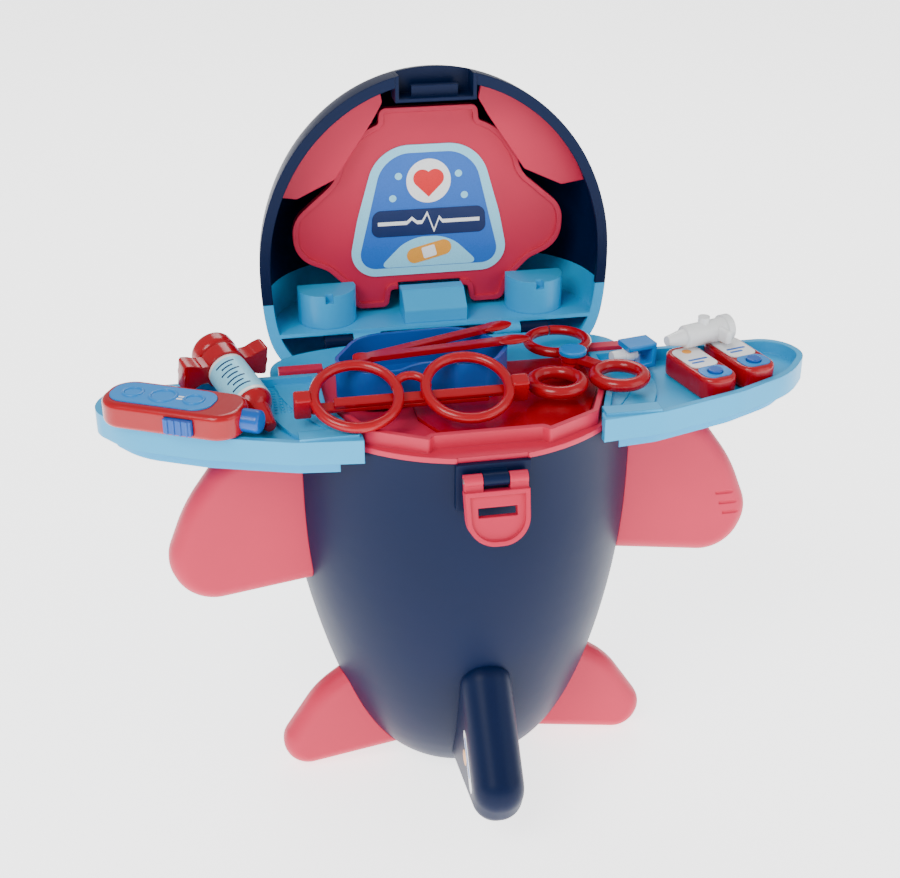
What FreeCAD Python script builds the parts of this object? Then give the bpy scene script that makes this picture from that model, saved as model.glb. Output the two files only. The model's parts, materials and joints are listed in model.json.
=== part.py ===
import FreeCAD, Part
import math
import os

import Sketcher

from FreeCAD import Rotation, Vector

# Toy doctor case shaped like a stubby aircraft standing on its tail.
# Millimetres, +Z up, front towards -Y, origin on the flat foot below the body's axis.

SIZES = {
    # body: a hollow fuselage, open at the top
    "case_half_width": 101,
    "case_front": 71,
    "case_back": 79,
    "case_widest": 40,
    "case_height": 230,
    "case_wall": 2.4,
    "case_foot_thickness": 3,
    "case_seam": 18,
    "post_radius": 6,
    "post_bore": 3.6,
    "post_web": 4,
    "lug_depth": 12,
    "lug_height": 16,
    "lug_reach": 34,
    "screw_radius": 1.6,
    "screw_head_radius": 3,
    "screw_head_height": 2.2,
    "screw_length": 14,
    # wings and stabilisers, plugged into the front shell
    "wing_span": 166,
    "wing_low": 121,
    "wing_height": 94,
    "wing_thickness": 20,
    "wing_round": 9,
    "groove_radius": 1.2,
    "groove_depth": 0.8,
    "stabiliser_span": 110,
    "stabiliser_height": 76,
    "stabiliser_thickness": 18,
    "stabiliser_round": 8,
    "peg_radius": 5,
    "peg_depth": 9,
    "peg_clearance": 0.15,
    # tail fin on the front
    "fin_reach": 112,
    "fin_top": 101,
    "fin_tip": 26,
    "fin_thickness": 28,
    "fin_round": 13,
    "fin_dimple_radius": 2.2,
    # latch on the front
    "latch_axis_gap": 6.4,
    "latch_axis_drop": 7,
    "latch_width": 33,
    "latch_length": 33.5,
    "latch_thickness": 5,
    "latch_knuckle_width": 13,
    "latch_knuckle_radius": 3.4,
    "latch_pin_radius": 1.5,
    "latch_lug_width": 9.4,
    "latch_border": 2.4,
    "latch_border_rise": 1.8,
    "latch_slot_width": 20,
    "latch_slot_height": 5,
    "latch_hang": 16,
    "mount_width": 38,
    "mount_height": 26,
    "mount_thickness": 2.5,
    # deck that closes the body
    "deck_thickness": 3,
    "deck_lip": 2.5,
    "deck_rear": 38,
    "deck_wall_height": 8,
    "deck_wall": 3,
    "deck_wall_inset": 7,
    "deck_step": 4,
    "floor_thickness": 2,
    "skirt_depth": 6,
    "skirt_gap": 1.4,
    "skirt_thickness": 2,
    "ear_width": 24,
    "ear_depth": 7,
    # trays that plug in beside the deck
    "tray_reach": 196,
    "tray_root": 62,
    "tray_front": 55,
    "tray_back": 30,
    "tray_band": 13,
    "tray_drop": 7,
    "tray_pan_depth": 9,
    "tray_wall": 3.5,
    "tray_floor": 2.5,
    "tray_floor_drop": 7,
    "tray_step": 9,
    "tray_tongue": 2,
    "tray_gap": 0.4,
    "tray_arm_rise": 1.5,
    "tray_arm_length": 30,
    "tray_arm_width": 9,
    # lid, modelled open
    "hinge_offset": 4,
    "hinge_pin_radius": 1.5,
    "hinge_knuckle_radius": 3.5,
    "hinge_knuckle_length": 16,
    "hinge_knuckle_gap": 0.5,
    "hinge_half_length": 66,
    "hinge_web": 8,
    "lid_seat_gap": 1,
    "lid_depth": 80,
    "lid_apron": 44,
    "shelf_depth": 58,
    "lid_wall": 2.4,
    "lid_rim_width": 6,
    "lid_rim_thickness": 3,
    "chin_height": 21,
    "chin_panel_depth": 30,
    "chin_panel_height": 24,
    "chin_panel_thickness": 2.2,
    "drum_radius": 17,
    "drum_height": 20,
    "drum_place": 62,
    "drum_notch": 4.5,
    "block_width": 37,
    "block_height": 19,
    "block_depth": 20,
    "panel_depth": 27,
    "panel_half_width": 80,
    "panel_low": 5,
    "panel_height": 119,
    "panel_thickness": 3,
    "panel_border": 3,
    "panel_border_rise": 2,
    "panel_post_radius": 5,
    "label_thickness": 0.6,
    "label_half_width": 49,
    "label_low": 24,
    "label_height": 78,
    "liner_depth": 18,
    "liner_thickness": 3,
    "catch_width": 45,
    "catch_depth": 16,
    "catch_height": 17,
    "catch_wall": 2,
    "catch_bar_width": 26,
    "catch_bar_height": 6,
    "catch_bar_depth": 5,
    # spectacles on the deck
    "lens_radius": 21.6,
    "lens_rod": 2.8,
    "lens_spacing": 57.5,
    "lens_tilt": 22,
    "bridge_rod": 2.3,
    "lug_block_width": 9,
    "lug_block_height": 8,
    "lug_block_depth": 7,
    "temple_length": 92,
    "temple_width": 6,
    "temple_thickness": 3,
    "glasses_x": 33.5,
    "glasses_y": 30,
    # kidney dish and tweezers
    "dish_length": 98,
    "dish_width": 52,
    "dish_height": 21,
    "dish_wall": 2,
    "dish_x": 22,
    "dish_y": 14,
    "dish_turn": 3,
    "tweezer_length": 84,
    "tweezer_width": 5.5,
    "tweezer_thickness": 3,
    "tweezer_spread": 7,
    "spoon_length": 20,
    "spoon_width": 11,
    "tweezer_x": 55,
    "tweezer_y": 2,
    "tweezer_turn": 14,
    # ring forceps
    "jaw_radius": 16,
    "jaw_rod": 2.8,
    "jaw_centre": 26.5,
    "jaw_gap": 1,
    "loop_radius": 13,
    "loop_rod": 3.6,
    "loop_side": 17.5,
    "loop_back": 26,
    "shank_width": 6.5,
    "half_thickness": 3.2,
    "half_gap": 0.3,
    "boss_radius": 6.5,
    "rivet_radius": 2,
    "rivet_clearance": 0.05,
    "cap_radius": 7.5,
    "cap_height": 3,
    "forceps_x": 61.5,
    "forceps_y": 9,
    "forceps_turn": 4,
    # syringe on the left tray
    "barrel_radius": 10.5,
    "barrel_length": 31,
    "barrel_wall": 1.6,
    "nozzle_length": 21,
    "nozzle_tip_radius": 3.2,
    "nozzle_base_radius": 8,
    "collar_span": 48,
    "collar_thickness": 9,
    "collar_height": 13,
    "rod_radius": 5,
    "rod_clearance": 0.08,
    "rod_length": 26,
    "cap_dome_radius": 12,
    "cap_dome_length": 12,
    "plunger_gap": 0.3,
    "syringe_pitch": 14,
    "syringe_turn": 22,
    "syringe_x": 106,
    "syringe_y": 28,
    # hand scanner on the left tray
    "scanner_length": 76,
    "scanner_width": 31,
    "scanner_height": 14,
    "scanner_round": 5,
    "scanner_face_length": 56,
    "scanner_face_width": 22,
    "scanner_face_thickness": 1.2,
    "scanner_ring_radius": 5,
    "scanner_ring_rod": 0.8,
    "scanner_button_length": 15,
    "scanner_button_height": 8,
    "scanner_button_depth": 4,
    "scanner_button_proud": 2.4,
    "scanner_tip_length": 9,
    "scanner_tip_radius": 6,
    "scanner_x": 153,
    "scanner_y": 18,
    "scanner_turn": 27,
    # pagers on the right tray
    "pager_length": 48,
    "pager_width": 22,
    "pager_height": 13,
    "pager_round": 4.5,
    "pager_face_length": 26,
    "pager_face_width": 17,
    "pager_face_thickness": 0.8,
    "pager_pad_length": 14,
    "pager_button_radius": 4,
    "pager_button_depth": 3,
    "pager_button_proud": 1.4,
    "pager_turn": 14,
    "pager_first_x": 129,
    "pager_first_y": 8,
    "pager_second_x": 154.5,
    "pager_second_y": -2,
    # ear scope and winged injector on the right tray
    "scope_length": 22,
    "scope_width": 14,
    "scope_plate": 3,
    "scope_height": 14,
    "scope_nose_radius": 3.3,
    "scope_nose_length": 15,
    "scope_x": 98.5,
    "scope_y": 16.5,
    "scope_turn": 12,
    "injector_radius": 6.5,
    "injector_length": 30,
    "injector_spout_length": 11,
    "injector_wing_span": 27,
    "injector_wing_thickness": 4,
    "injector_x": 138,
    "injector_y": 13,
    "injector_turn": 18,
    # shared
    "pin_clearance": 0.05,
    "button_clearance": 0.3,
    "rest_gap": 0.05,
    "overrun": 6,
}

doc = FreeCAD.newDocument("ToyDoctorCase")
sheet = doc.addObject("Spreadsheet::Sheet", "Sizes")
for row, (alias, amount) in enumerate(SIZES.items(), 1):
    sheet.set(f"A{row}", alias)
    sheet.set(f"B{row}", str(amount))
    sheet.setAlias(f"B{row}", alias)
doc.recompute()


class Size:
    """A length or angle that keeps its number together with the sheet formula that gives it."""

    def __init__(self, number, formula):
        self.number = number
        self.formula = formula

    def join(self, other, sign, number):
        return Size(number, f"({self.formula} {sign} {as_size(other).formula})")

    def __add__(self, other):
        return self.join(other, "+", self.number + as_size(other).number)

    def __sub__(self, other):
        return self.join(other, "-", self.number - as_size(other).number)

    def __mul__(self, other):
        return self.join(other, "*", self.number * as_size(other).number)

    def __truediv__(self, other):
        return self.join(other, "/", self.number / as_size(other).number)

    def __radd__(self, other):
        return as_size(other) + self

    def __rsub__(self, other):
        return as_size(other) - self

    def __rmul__(self, other):
        return as_size(other) * self

    def __neg__(self):
        return self * -1


def as_size(amount):
    if isinstance(amount, Size):
        return amount
    return Size(float(amount), f"({float(amount)!r})")


class Sheet:
    """The sheet's cells by alias, each as a Size."""

    def __getattr__(self, alias):
        return Size(float(sheet.get(alias)), f"Sizes.{alias}")


dim = Sheet()
nodes = {}


def keep(item, label):
    """Names a finished sub-part; its label names its file."""
    item.Label = label
    nodes[label] = item
    return item


def bind(item, **amounts):
    for name, amount in amounts.items():
        size = as_size(amount)
        item.setExpression(name.replace("__", "."), size.formula)
    return item


def place(item, x=0, y=0, z=0, turn=None):
    if turn is not None:
        item.Placement = FreeCAD.Placement(Vector(), turn)
    return bind(item, Placement__Base__x=x, Placement__Base__y=y, Placement__Base__z=z)


def box(name, length, width, height, x, y, z):
    """A box centred on x and y, standing on z."""
    item = doc.addObject("Part::Box", name)
    bind(item, Length=length, Width=width, Height=height)
    return place(item, x - as_size(length) / 2, y - as_size(width) / 2, z)


ALONG = {
    "x": Rotation(Vector(0, 1, 0), 90),
    "y": Rotation(Vector(1, 0, 0), -90),
    "z": Rotation(),
}


def rod(name, radius, length, x, y, z, axis="z"):
    """A cylinder that starts at a point and runs along +axis."""
    item = doc.addObject("Part::Cylinder", name)
    bind(item, Radius=radius, Height=length)
    return place(item, x, y, z, ALONG[axis])


def cone(name, start_radius, end_radius, length, x, y, z, axis="z"):
    item = doc.addObject("Part::Cone", name)
    bind(item, Radius1=start_radius, Radius2=end_radius, Height=length)
    return place(item, x, y, z, ALONG[axis])


def ring(name, radius, rod_radius, x, y, z, sweep=360):
    item = doc.addObject("Part::Torus", name)
    bind(item, Radius1=radius, Radius2=rod_radius)
    item.Angle3 = sweep
    return place(item, x, y, z)


def fuse(name, *shapes):
    item = doc.addObject("Part::MultiFuse", name)
    item.Shapes = list(shapes)
    item.Refine = True
    return item


def cut(name, base, *tools):
    item = doc.addObject("Part::Cut", name)
    item.Base = base
    item.Tool = tools[0] if len(tools) == 1 else fuse(name + "Tools", *tools)
    return item


def common(name, base, tool):
    item = doc.addObject("Part::Common", name)
    item.Base = base
    item.Tool = tool
    return item


def rounded(name, base, radius, chosen=None):
    """Rounds the chosen edges, or all of them."""
    doc.recompute()
    item = doc.addObject("Part::Fillet", name)
    item.Base = base
    amount = as_size(radius).number
    item.Edges = [
        (index, amount, amount)
        for index, edge in enumerate(base.Shape.Edges, 1)
        if chosen is None or chosen(edge)
    ]
    return item


def mirrored(name, source):
    """The same piece on the other side of the plane x = 0."""
    item = doc.addObject("Part::Mirroring", name)
    item.Source = source
    item.Normal = Vector(1, 0, 0)
    return item


def solid(name, shape):
    """A piece whose shape follows a formula that no primitive has."""
    item = doc.addObject("Part::Feature", name)
    item.Shape = shape
    return item


PLANES = {
    "xy": Rotation(),
    "xz": Rotation(Vector(1, 0, 0), 90),
    "yz": Rotation(Vector(1, 1, 1), 120),
}


def outline(name, corners, plane="xy", **place_on):
    """A closed sketch through corners (across, up, radius); a radius of 0 leaves a corner sharp."""
    sketch = doc.addObject("Sketcher::SketchObject", name)
    place(sketch, turn=PLANES[plane], **place_on)
    sizes = [[as_size(amount) for amount in corner] for corner in corners]
    points = [Vector(across.number, up.number, 0) for across, up, radius in sizes]
    count = len(points)
    starts, ends, bends = [], [], []
    for index, (across, up, radius) in enumerate(sizes):
        here = points[index]
        back = (points[index - 1] - here).normalize()
        ahead = (points[(index + 1) % count] - here).normalize()
        half = back.getAngle(ahead) / 2
        reach = radius.number / math.tan(half)
        starts.append(here + back * reach)
        ends.append(here + ahead * reach)
        middle = here + (back + ahead).normalize() * (radius.number / math.sin(half))
        bends.append((middle, (ahead.cross(back)).z > 0))
    lines = [
        sketch.addGeometry(Part.LineSegment(ends[index], starts[(index + 1) % count]), False)
        for index in range(count)
    ]
    for index, (across, up, radius) in enumerate(sizes):
        before, after = lines[index - 1], lines[index]
        if radius.number == 0:
            sketch.addConstraint(Sketcher.Constraint("Coincident", before, 2, after, 1))
            fixed = (after, 1)
        else:
            middle, convex = bends[index]
            first, last = (starts[index], ends[index]) if convex else (ends[index], starts[index])
            circle = Part.Circle(middle, Vector(0, 0, 1), radius.number)
            arc = sketch.addGeometry(
                Part.ArcOfCircle(circle, circle.parameter(first), circle.parameter(last)), False
            )
            enter, leave = (1, 2) if convex else (2, 1)
            sketch.addConstraint(Sketcher.Constraint("Tangent", before, 2, arc, enter))
            sketch.addConstraint(Sketcher.Constraint("Tangent", arc, leave, after, 1))
            bend = sketch.addConstraint(Sketcher.Constraint("Radius", arc, radius.number))
            sketch.setExpression(f"Constraints[{bend}]", radius.formula)
            corner = sketch.addGeometry(Part.Point(points[index]), True)
            sketch.addConstraint(Sketcher.Constraint("PointOnObject", corner, 1, before))
            sketch.addConstraint(Sketcher.Constraint("PointOnObject", corner, 1, after))
            fixed = (corner, 1)
        for kind, size in (("DistanceX", across), ("DistanceY", up)):
            held = sketch.addConstraint(Sketcher.Constraint(kind, -1, 1, *fixed, size.number))
            sketch.setExpression(f"Constraints[{held}]", size.formula)
    return sketch


def inset(name, sketch, amount):
    """The same outline, drawn in by an amount."""
    item = doc.addObject("Part::Offset2D", name)
    item.Source = sketch
    item.Join = "Intersection"
    return bind(item, Value=-as_size(amount))


def slab(name, flat, thickness, direction=None, **place_on):
    """A flat outline made thick."""
    item = doc.addObject("Part::Extrusion", name)
    item.Base = flat
    item.Solid = True
    item.DirMode = "Custom"
    item.Dir = direction or Vector(0, 0, 1)
    bind(item, LengthFwd=thickness)
    return place(item, **place_on) if place_on else item


FLATNESS = 1e-6
ACROSS = Vector(1, 0, 0)
ALONG_Y = Vector(0, 1, 0)
UP = Vector(0, 0, 1)


# Body: sections of one egg-shaped outline, from the foot to the rim.
# Shares of the rim's height, half width, front reach, back reach and widest line.
BODY_SECTION_SHARES = (
    (0.0, 0.30, 0.20, 0.78, 0.30),
    (0.07, 0.495, 0.46, 0.85, 0.30),
    (0.243, 0.708, 0.735, 0.91, 0.34),
    (0.435, 0.842, 0.89, 0.95, 0.45),
    (0.783, 0.97, 0.985, 0.99, 0.78),
    (1.0, 1.0, 1.0, 1.0, 1.0),
)
# Shares of the lid's depth and of its rim's size, from the rim to the nose.
LID_SECTION_SHARES = (
    (0.0, 1.0),
    (0.3, 0.972),
    (0.6, 0.86),
    (0.82, 0.66),
    (0.95, 0.40),
    (1.0, 0.17),
)
OUTLINE_STEPS = 24
CURVE_SWEEPS = 40
BACK_FULLNESS = 3.2
LID_FULLNESS = 3.0
CHIN_STRIPS = 5
FRONT_FULLNESS = 2.0


def egg(half_width, front, back, widest, fullness=BACK_FULLNESS):
    """Points (across, along) of the rim's outline: an ellipse in front, a fuller curve behind."""
    points = []
    for step in range(OUTLINE_STEPS):
        angle = 2 * math.pi * step / OUTLINE_STEPS
        behind = step * 2 <= OUTLINE_STEPS
        power = 2 / (fullness if behind else FRONT_FULLNESS)
        reach = back - widest if behind else front + widest
        across = math.copysign(abs(math.cos(angle)) ** power, math.cos(angle))
        along = math.copysign(abs(math.sin(angle)) ** power, math.sin(angle))
        points.append((half_width * across, widest + reach * along))
    return points


def closed_curve(points):
    """A smooth loop through the points, alike on both sides."""
    poles = list(points)
    for sweep in range(CURVE_SWEEPS):
        for index, point in enumerate(points):
            beside = poles[index - 1] + poles[(index + 1) % len(points)]
            poles[index] = (point * 6 - beside) * 0.25
    curve = Part.BSplineCurve()
    curve.buildFromPolesMultsKnots(poles, [1] * (len(points) + 1), range(len(points) + 1), True, 3)
    return Part.Wire(curve.toShape())


def fuselage(inside, foot, extra):
    """The body's outer form, drawn in by inside, from foot up to extra above the rim."""
    wires = []
    for height, width, front, back, widest in BODY_SECTION_SHARES:
        level = max(height * dim.case_height.number, foot)
        outer = egg(
            width * dim.case_half_width.number - inside,
            front * dim.case_front.number - inside,
            back * dim.case_back.number - inside,
            widest * dim.case_widest.number,
        )
        wires.append(closed_curve([Vector(across, along, level) for across, along in outer]))
    form = Part.makeLoft(wires, True, False)
    if extra == 0:
        return form
    top = max(form.Faces, key=lambda face: face.CenterOfMass.z)
    return form.fuse(top.extrude(Vector(0, 0, extra)))


hinge_y = dim.case_back + dim.hinge_offset
hinge_z = dim.case_height + dim.deck_thickness + dim.lid_seat_gap
lid_low = hinge_z + dim.hinge_offset
lid_high = lid_low + dim.case_back + dim.case_front


def rim_curve(inside, share, depth):
    """The lid's outline at a depth behind its rim, drawn in by inside and shrunk to a share."""
    centre = (lid_low - dim.lid_apron + lid_high).number / 2
    points = []
    for across, along in egg(
        dim.case_half_width.number - inside,
        dim.case_front.number - inside,
        (dim.case_back + dim.lid_apron).number - inside,
        dim.case_widest.number,
        LID_FULLNESS,
    ):
        up = hinge_z.number + hinge_y.number - along
        points.append(Vector(across * share, hinge_y.number + depth, centre + (up - centre) * share))
    return closed_curve(points)


def dome(inside, depth):
    wires = [rim_curve(inside, share, part * depth) for part, share in LID_SECTION_SHARES]
    return Part.makeLoft(wires, True, False)


def rim_plate(inside, thickness):
    return Part.Face(rim_curve(inside, 1, 0)).extrude(Vector(0, thickness, 0))


def side_of(name, base, size_x, size_y, size_z, x, y, z):
    return common(name, base, box(name + "Half", size_x, size_y, size_z, x, y, z))


# Four long posts in the rear shell meet four lugs in the front shell:
# shares of the half width and of the height.
POST_SHARES = ((0.66, 0.80), (-0.66, 0.80), (0.40, 0.27), (-0.40, 0.27))


def body_parts():
    overrun = dim.overrun
    wall = dim.case_wall
    form = solid("BodyForm", fuselage(0, 0, 0))
    hollow = solid(
        "BodyHollow", fuselage(wall.number, dim.case_foot_thickness.number, overrun.number)
    )
    shell = cut("BodyShell", form, hollow)
    width = dim.case_half_width * 3
    tall = dim.case_height * 2
    deep = dim.case_back * 3
    front = side_of("FrontWall", shell, width, deep, tall, 0, dim.case_seam - deep / 2, -overrun)
    rear = side_of("RearWall", shell, width, deep, tall, 0, dim.case_seam + deep / 2, -overrun)

    core = solid("BodyCore", fuselage(wall.number / 2, 0, 0))
    posts, bores, pilots, lugs, screws = [], [], [], [], []
    for number, (across, height) in enumerate(POST_SHARES):
        x = dim.case_half_width * across
        z = dim.case_height * height
        start = dim.case_seam + dim.rest_gap
        posts.append(rod(f"Post{number}", dim.post_radius, dim.case_back, x, start, z, "y"))
        bores.append(
            rod(f"Bore{number}", dim.post_bore, dim.case_back, x, start + dim.post_web, z, "y")
        )
        pilots.append(
            rod(
                f"Pilot{number}", dim.screw_radius + dim.pin_clearance, dim.lug_depth + dim.post_web * 2,
                x, dim.case_seam - dim.lug_depth, z, "y",
            )
        )
        side = 1 if across > 0 else -1
        lugs.append(
            box(
                f"Lug{number}", dim.lug_reach * 2, dim.lug_depth, dim.lug_height,
                x + (dim.lug_reach - dim.post_radius) * side, dim.case_seam - dim.lug_depth / 2,
                z - dim.lug_height / 2,
            )
        )
        shank = rod(
            f"Shank{number}", dim.screw_radius, dim.screw_length,
            x, start + dim.post_web - dim.screw_length + dim.rest_gap, z, "y",
        )
        head = rod(
            f"Head{number}", dim.screw_head_radius, dim.screw_head_height,
            x, start + dim.post_web + dim.rest_gap, z, "y",
        )
        screws.append(fuse(f"Screw{number}", shank, head))
    posts_in = common("PostsIn", fuse("Posts", *posts), core)
    lugs_in = common("LugsIn", fuse("Lugs", *lugs), core)
    rear_solid = cut("RearSolid", fuse("RearJoined", rear, posts_in), *bores, *pilots)
    front_solid = cut("FrontSolid", fuse("FrontJoined", front, lugs_in), *pilots)
    together = doc.addObject("Part::Compound", "ScrewSet")
    together.Links = screws
    keep(together, "shell_screws")
    return form, core, front_solid, rear_solid


def flat_edges(direction):
    """Chooses the edges that lie square to a direction."""

    def test(edge):
        along = [vertex.Point.dot(direction) for vertex in edge.Vertexes]
        return len(along) == 2 and abs(along[0] - along[1]) < FLATNESS

    return test


def plug(name, radius, x_share, z):
    """A round peg from inside the body out into the piece that it carries."""
    start = dim.case_half_width * x_share - dim.peg_depth
    return rod(name, radius, dim.peg_depth * 3, start, 0, z, "x")


# Shares of the span and of the height above the lowest corner, and the corner's radius share.
WING_SHARES = (
    (0.42, 1.0, 0),
    (0.78, 1.0, 0.22),
    (0.925, 0.64, 0.60),
    (1.0, 0.30, 0.145),
    (0.93, 0.0, 0.145),
    (0.42, 0.13, 0),
)
STABILISER_SHARES = (
    (0.50, 1.02, 0),
    (0.80, 0.70, 0.50),
    (1.0, 0.25, 0.135),
    (0.93, 0.0, 0.135),
    (0.30, 0.15, 0),
)
# Where the grooves at the right wing's tip start: shares of the wing's span and height.
GROOVE_SHARES = ((0.865, 0.45), (0.88, 0.38), (0.895, 0.31))
GROOVE_RUN_SHARE = 0.2


def wing_grooves():
    """Three short grooves across the front of the right wing's tip."""
    middle = dim.groove_depth - dim.groove_radius - dim.wing_thickness / 2
    run = dim.wing_span * GROOVE_RUN_SHARE
    return [
        rod(
            f"WingGroove{number}", dim.groove_radius, run, dim.wing_span * across, middle,
            dim.wing_low + dim.wing_height * up, "x",
        )
        for number, (across, up) in enumerate(GROOVE_SHARES)
    ]


def wing_parts(form):
    """Both wings and both stabilisers, each seated on the body and plugged into it."""
    holes = []
    kinds = (
        ("wing", WING_SHARES, dim.wing_span, dim.wing_low, dim.wing_height,
         dim.wing_thickness, dim.wing_round, 0.90, 0.50),
        ("stabiliser", STABILISER_SHARES, dim.stabiliser_span, dim.rest_gap, dim.stabiliser_height,
         dim.stabiliser_thickness, dim.stabiliser_round, 0.62, 0.45),
    )
    for kind, shares, span, low, height, thickness, bend, peg_share, peg_height_share in kinds:
        corners = [(span * across, low + height * up, span * turn) for across, up, turn in shares]
        flat = outline(kind + "Outline", corners, "xz", y=thickness / 2)
        plate = slab(kind + "Plate", flat, thickness, -ALONG_Y)
        soft = rounded(kind + "Soft", plate, bend, flat_edges(ALONG_Y))
        seated = cut(kind + "Seated", soft, form)
        peg_z = low + height * peg_height_share
        peg = plug(kind + "Peg", dim.peg_radius, peg_share, peg_z)
        right = fuse(kind + "Right", seated, peg)
        keep(mirrored(kind + "Left", right), "left_" + kind)
        if kind == "wing":
            right = cut("WingGrooved", right, *wing_grooves())
        keep(right, "right_" + kind)
        hole = plug(kind + "Hole", dim.peg_radius + dim.peg_clearance, peg_share, peg_z)
        holes += [hole, mirrored(kind + "HoleLeft", hole)]
    return holes


def fin_part(form):
    """The thick tail fin that leans forward and down, with a small dimple at its tip."""
    bend = dim.fin_reach * 0.11
    corners = [
        (-dim.fin_reach * 0.30, dim.fin_top, 0),
        (-dim.fin_reach * 0.59, dim.fin_top * 0.99, bend),
        (-dim.fin_reach, dim.fin_tip * 1.75, bend * 1.3),
        (-dim.fin_reach * 0.91, dim.fin_tip * 0.92, bend),
        (-dim.fin_reach * 0.10, dim.fin_tip * 0.32, 0),
    ]
    flat = outline("FinOutline", corners, "yz", x=-dim.fin_thickness / 2)
    plate = slab("FinPlate", flat, dim.fin_thickness, ACROSS)
    soft = rounded("FinSoft", plate, dim.fin_round, flat_edges(ACROSS))
    dimple = doc.addObject("Part::Sphere", "FinDimple")
    bind(dimple, Radius=dim.fin_dimple_radius)
    place(dimple, 0, -dim.fin_reach * 0.985, dim.fin_tip * 1.35)
    seated = cut("FinSeated", soft, form, dimple)
    peg_y = -dim.case_front * 0.93
    peg_z = dim.fin_top * 0.70
    peg = rod("FinPeg", dim.peg_radius, dim.peg_depth * 3, 0, peg_y, peg_z, "y")
    keep(fuse("Fin", seated, peg), "tail_fin")
    return rod("FinHole", dim.peg_radius + dim.peg_clearance, dim.peg_depth * 3, 0, peg_y, peg_z, "y")


latch_y = -(dim.case_front + dim.latch_axis_gap)
latch_z = dim.case_height - dim.latch_axis_drop


def latch_parts(form):
    """A mount with one knuckle on the body, a steel pin and the lever that hangs from it."""
    plate_depth = dim.mount_thickness + dim.mount_width / 4
    plate = box(
        "MountPlate", dim.mount_width, plate_depth, dim.mount_height,
        0, -dim.case_front - dim.mount_thickness + plate_depth / 2,
        dim.case_height - dim.mount_height - dim.pin_clearance,
    )
    seated = cut("MountSeated", plate, form)
    knuckle = rod(
        "MountKnuckle", dim.latch_knuckle_radius, dim.latch_knuckle_width,
        -dim.latch_knuckle_width / 2, latch_y, latch_z, "x",
    )
    web = box(
        "MountWeb", dim.latch_knuckle_width, dim.latch_axis_gap, dim.latch_knuckle_radius * 2,
        0, latch_y + dim.latch_axis_gap / 2 - dim.rest_gap, latch_z - dim.latch_knuckle_radius,
    )
    web_out = cut("MountWebOut", web, form)
    pin_length = dim.latch_knuckle_width + dim.latch_lug_width * 2 + dim.latch_border / 2
    bore = rod(
        "MountBore", dim.latch_pin_radius + dim.pin_clearance, pin_length + dim.overrun,
        -(pin_length + dim.overrun) / 2, latch_y, latch_z, "x",
    )
    keep(cut("Mount", fuse("MountJoined", seated, knuckle, web_out), bore), "latch_mount")
    pin = rod("LatchPin", dim.latch_pin_radius, pin_length, -pin_length / 2, latch_y, latch_z, "x")
    keep(pin, "latch_pin")

    # The lever is drawn straight down from its axis, then hung outwards.
    half = dim.latch_width / 2
    top = -dim.latch_knuckle_radius - dim.latch_border_rise
    foot = half * 0.95
    bend = half * 0.88
    corners = [(-half, top, 0), (-foot, -dim.latch_length, bend),
               (foot, -dim.latch_length, bend), (half, top, 0)]
    flat = outline("LeverOutline", corners, "xz", y=dim.latch_thickness / 2)
    tongue = slab("LeverTongue", flat, dim.latch_thickness, -ALONG_Y)
    rim = slab("LeverRim", flat, dim.latch_border_rise + dim.latch_thickness, -ALONG_Y)
    field = slab(
        "LeverField", inset("LeverInner", flat, dim.latch_border),
        dim.latch_border_rise + dim.latch_thickness + dim.overrun, -ALONG_Y,
    )
    slot = box(
        "LeverSlot", dim.latch_slot_width, dim.latch_thickness * 4, dim.latch_slot_height,
        0, 0, -dim.latch_length * 0.56,
    )
    lug_x = dim.latch_knuckle_width / 2 + dim.latch_lug_width / 2 + dim.button_clearance
    pieces = [tongue, cut("LeverBorder", rim, field)]
    for side, sign in (("Right", 1), ("Left", -1)):
        pieces.append(
            rod(
                "LeverLug" + side, dim.latch_knuckle_radius, dim.latch_lug_width,
                lug_x * sign - dim.latch_lug_width / 2, 0, 0, "x",
            )
        )
        pieces.append(
            box("LeverNeck" + side, dim.latch_lug_width, dim.latch_thickness, -top * 1.2,
                lug_x * sign, 0, top * 1.2)
        )
    eye = rod(
        "LeverEye", dim.latch_pin_radius + dim.pin_clearance, pin_length + dim.overrun,
        -(pin_length + dim.overrun) / 2, 0, 0, "x",
    )
    lever = cut("Lever", fuse("LeverJoined", *pieces), slot, eye)
    place(lever, 0, latch_y, latch_z, Rotation(ACROSS, -dim.latch_hang.number))
    keep(lever, "latch_lever")


deck_top = dim.case_height + dim.deck_thickness
floor_top = deck_top + dim.floor_thickness
deck_side = dim.case_half_width * 0.75


def rim_prism(name, grow, lip, low, high):
    """The rim's outline, grown outwards, as a prism between two heights."""
    points = egg(
        dim.case_half_width.number + grow, dim.case_front.number + grow + lip,
        dim.case_back.number + grow, dim.case_widest.number,
    )
    flat = Part.Face(closed_curve([Vector(across, along, low) for across, along in points]))
    return solid(name, flat.extrude(Vector(0, 0, high - low)))


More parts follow.
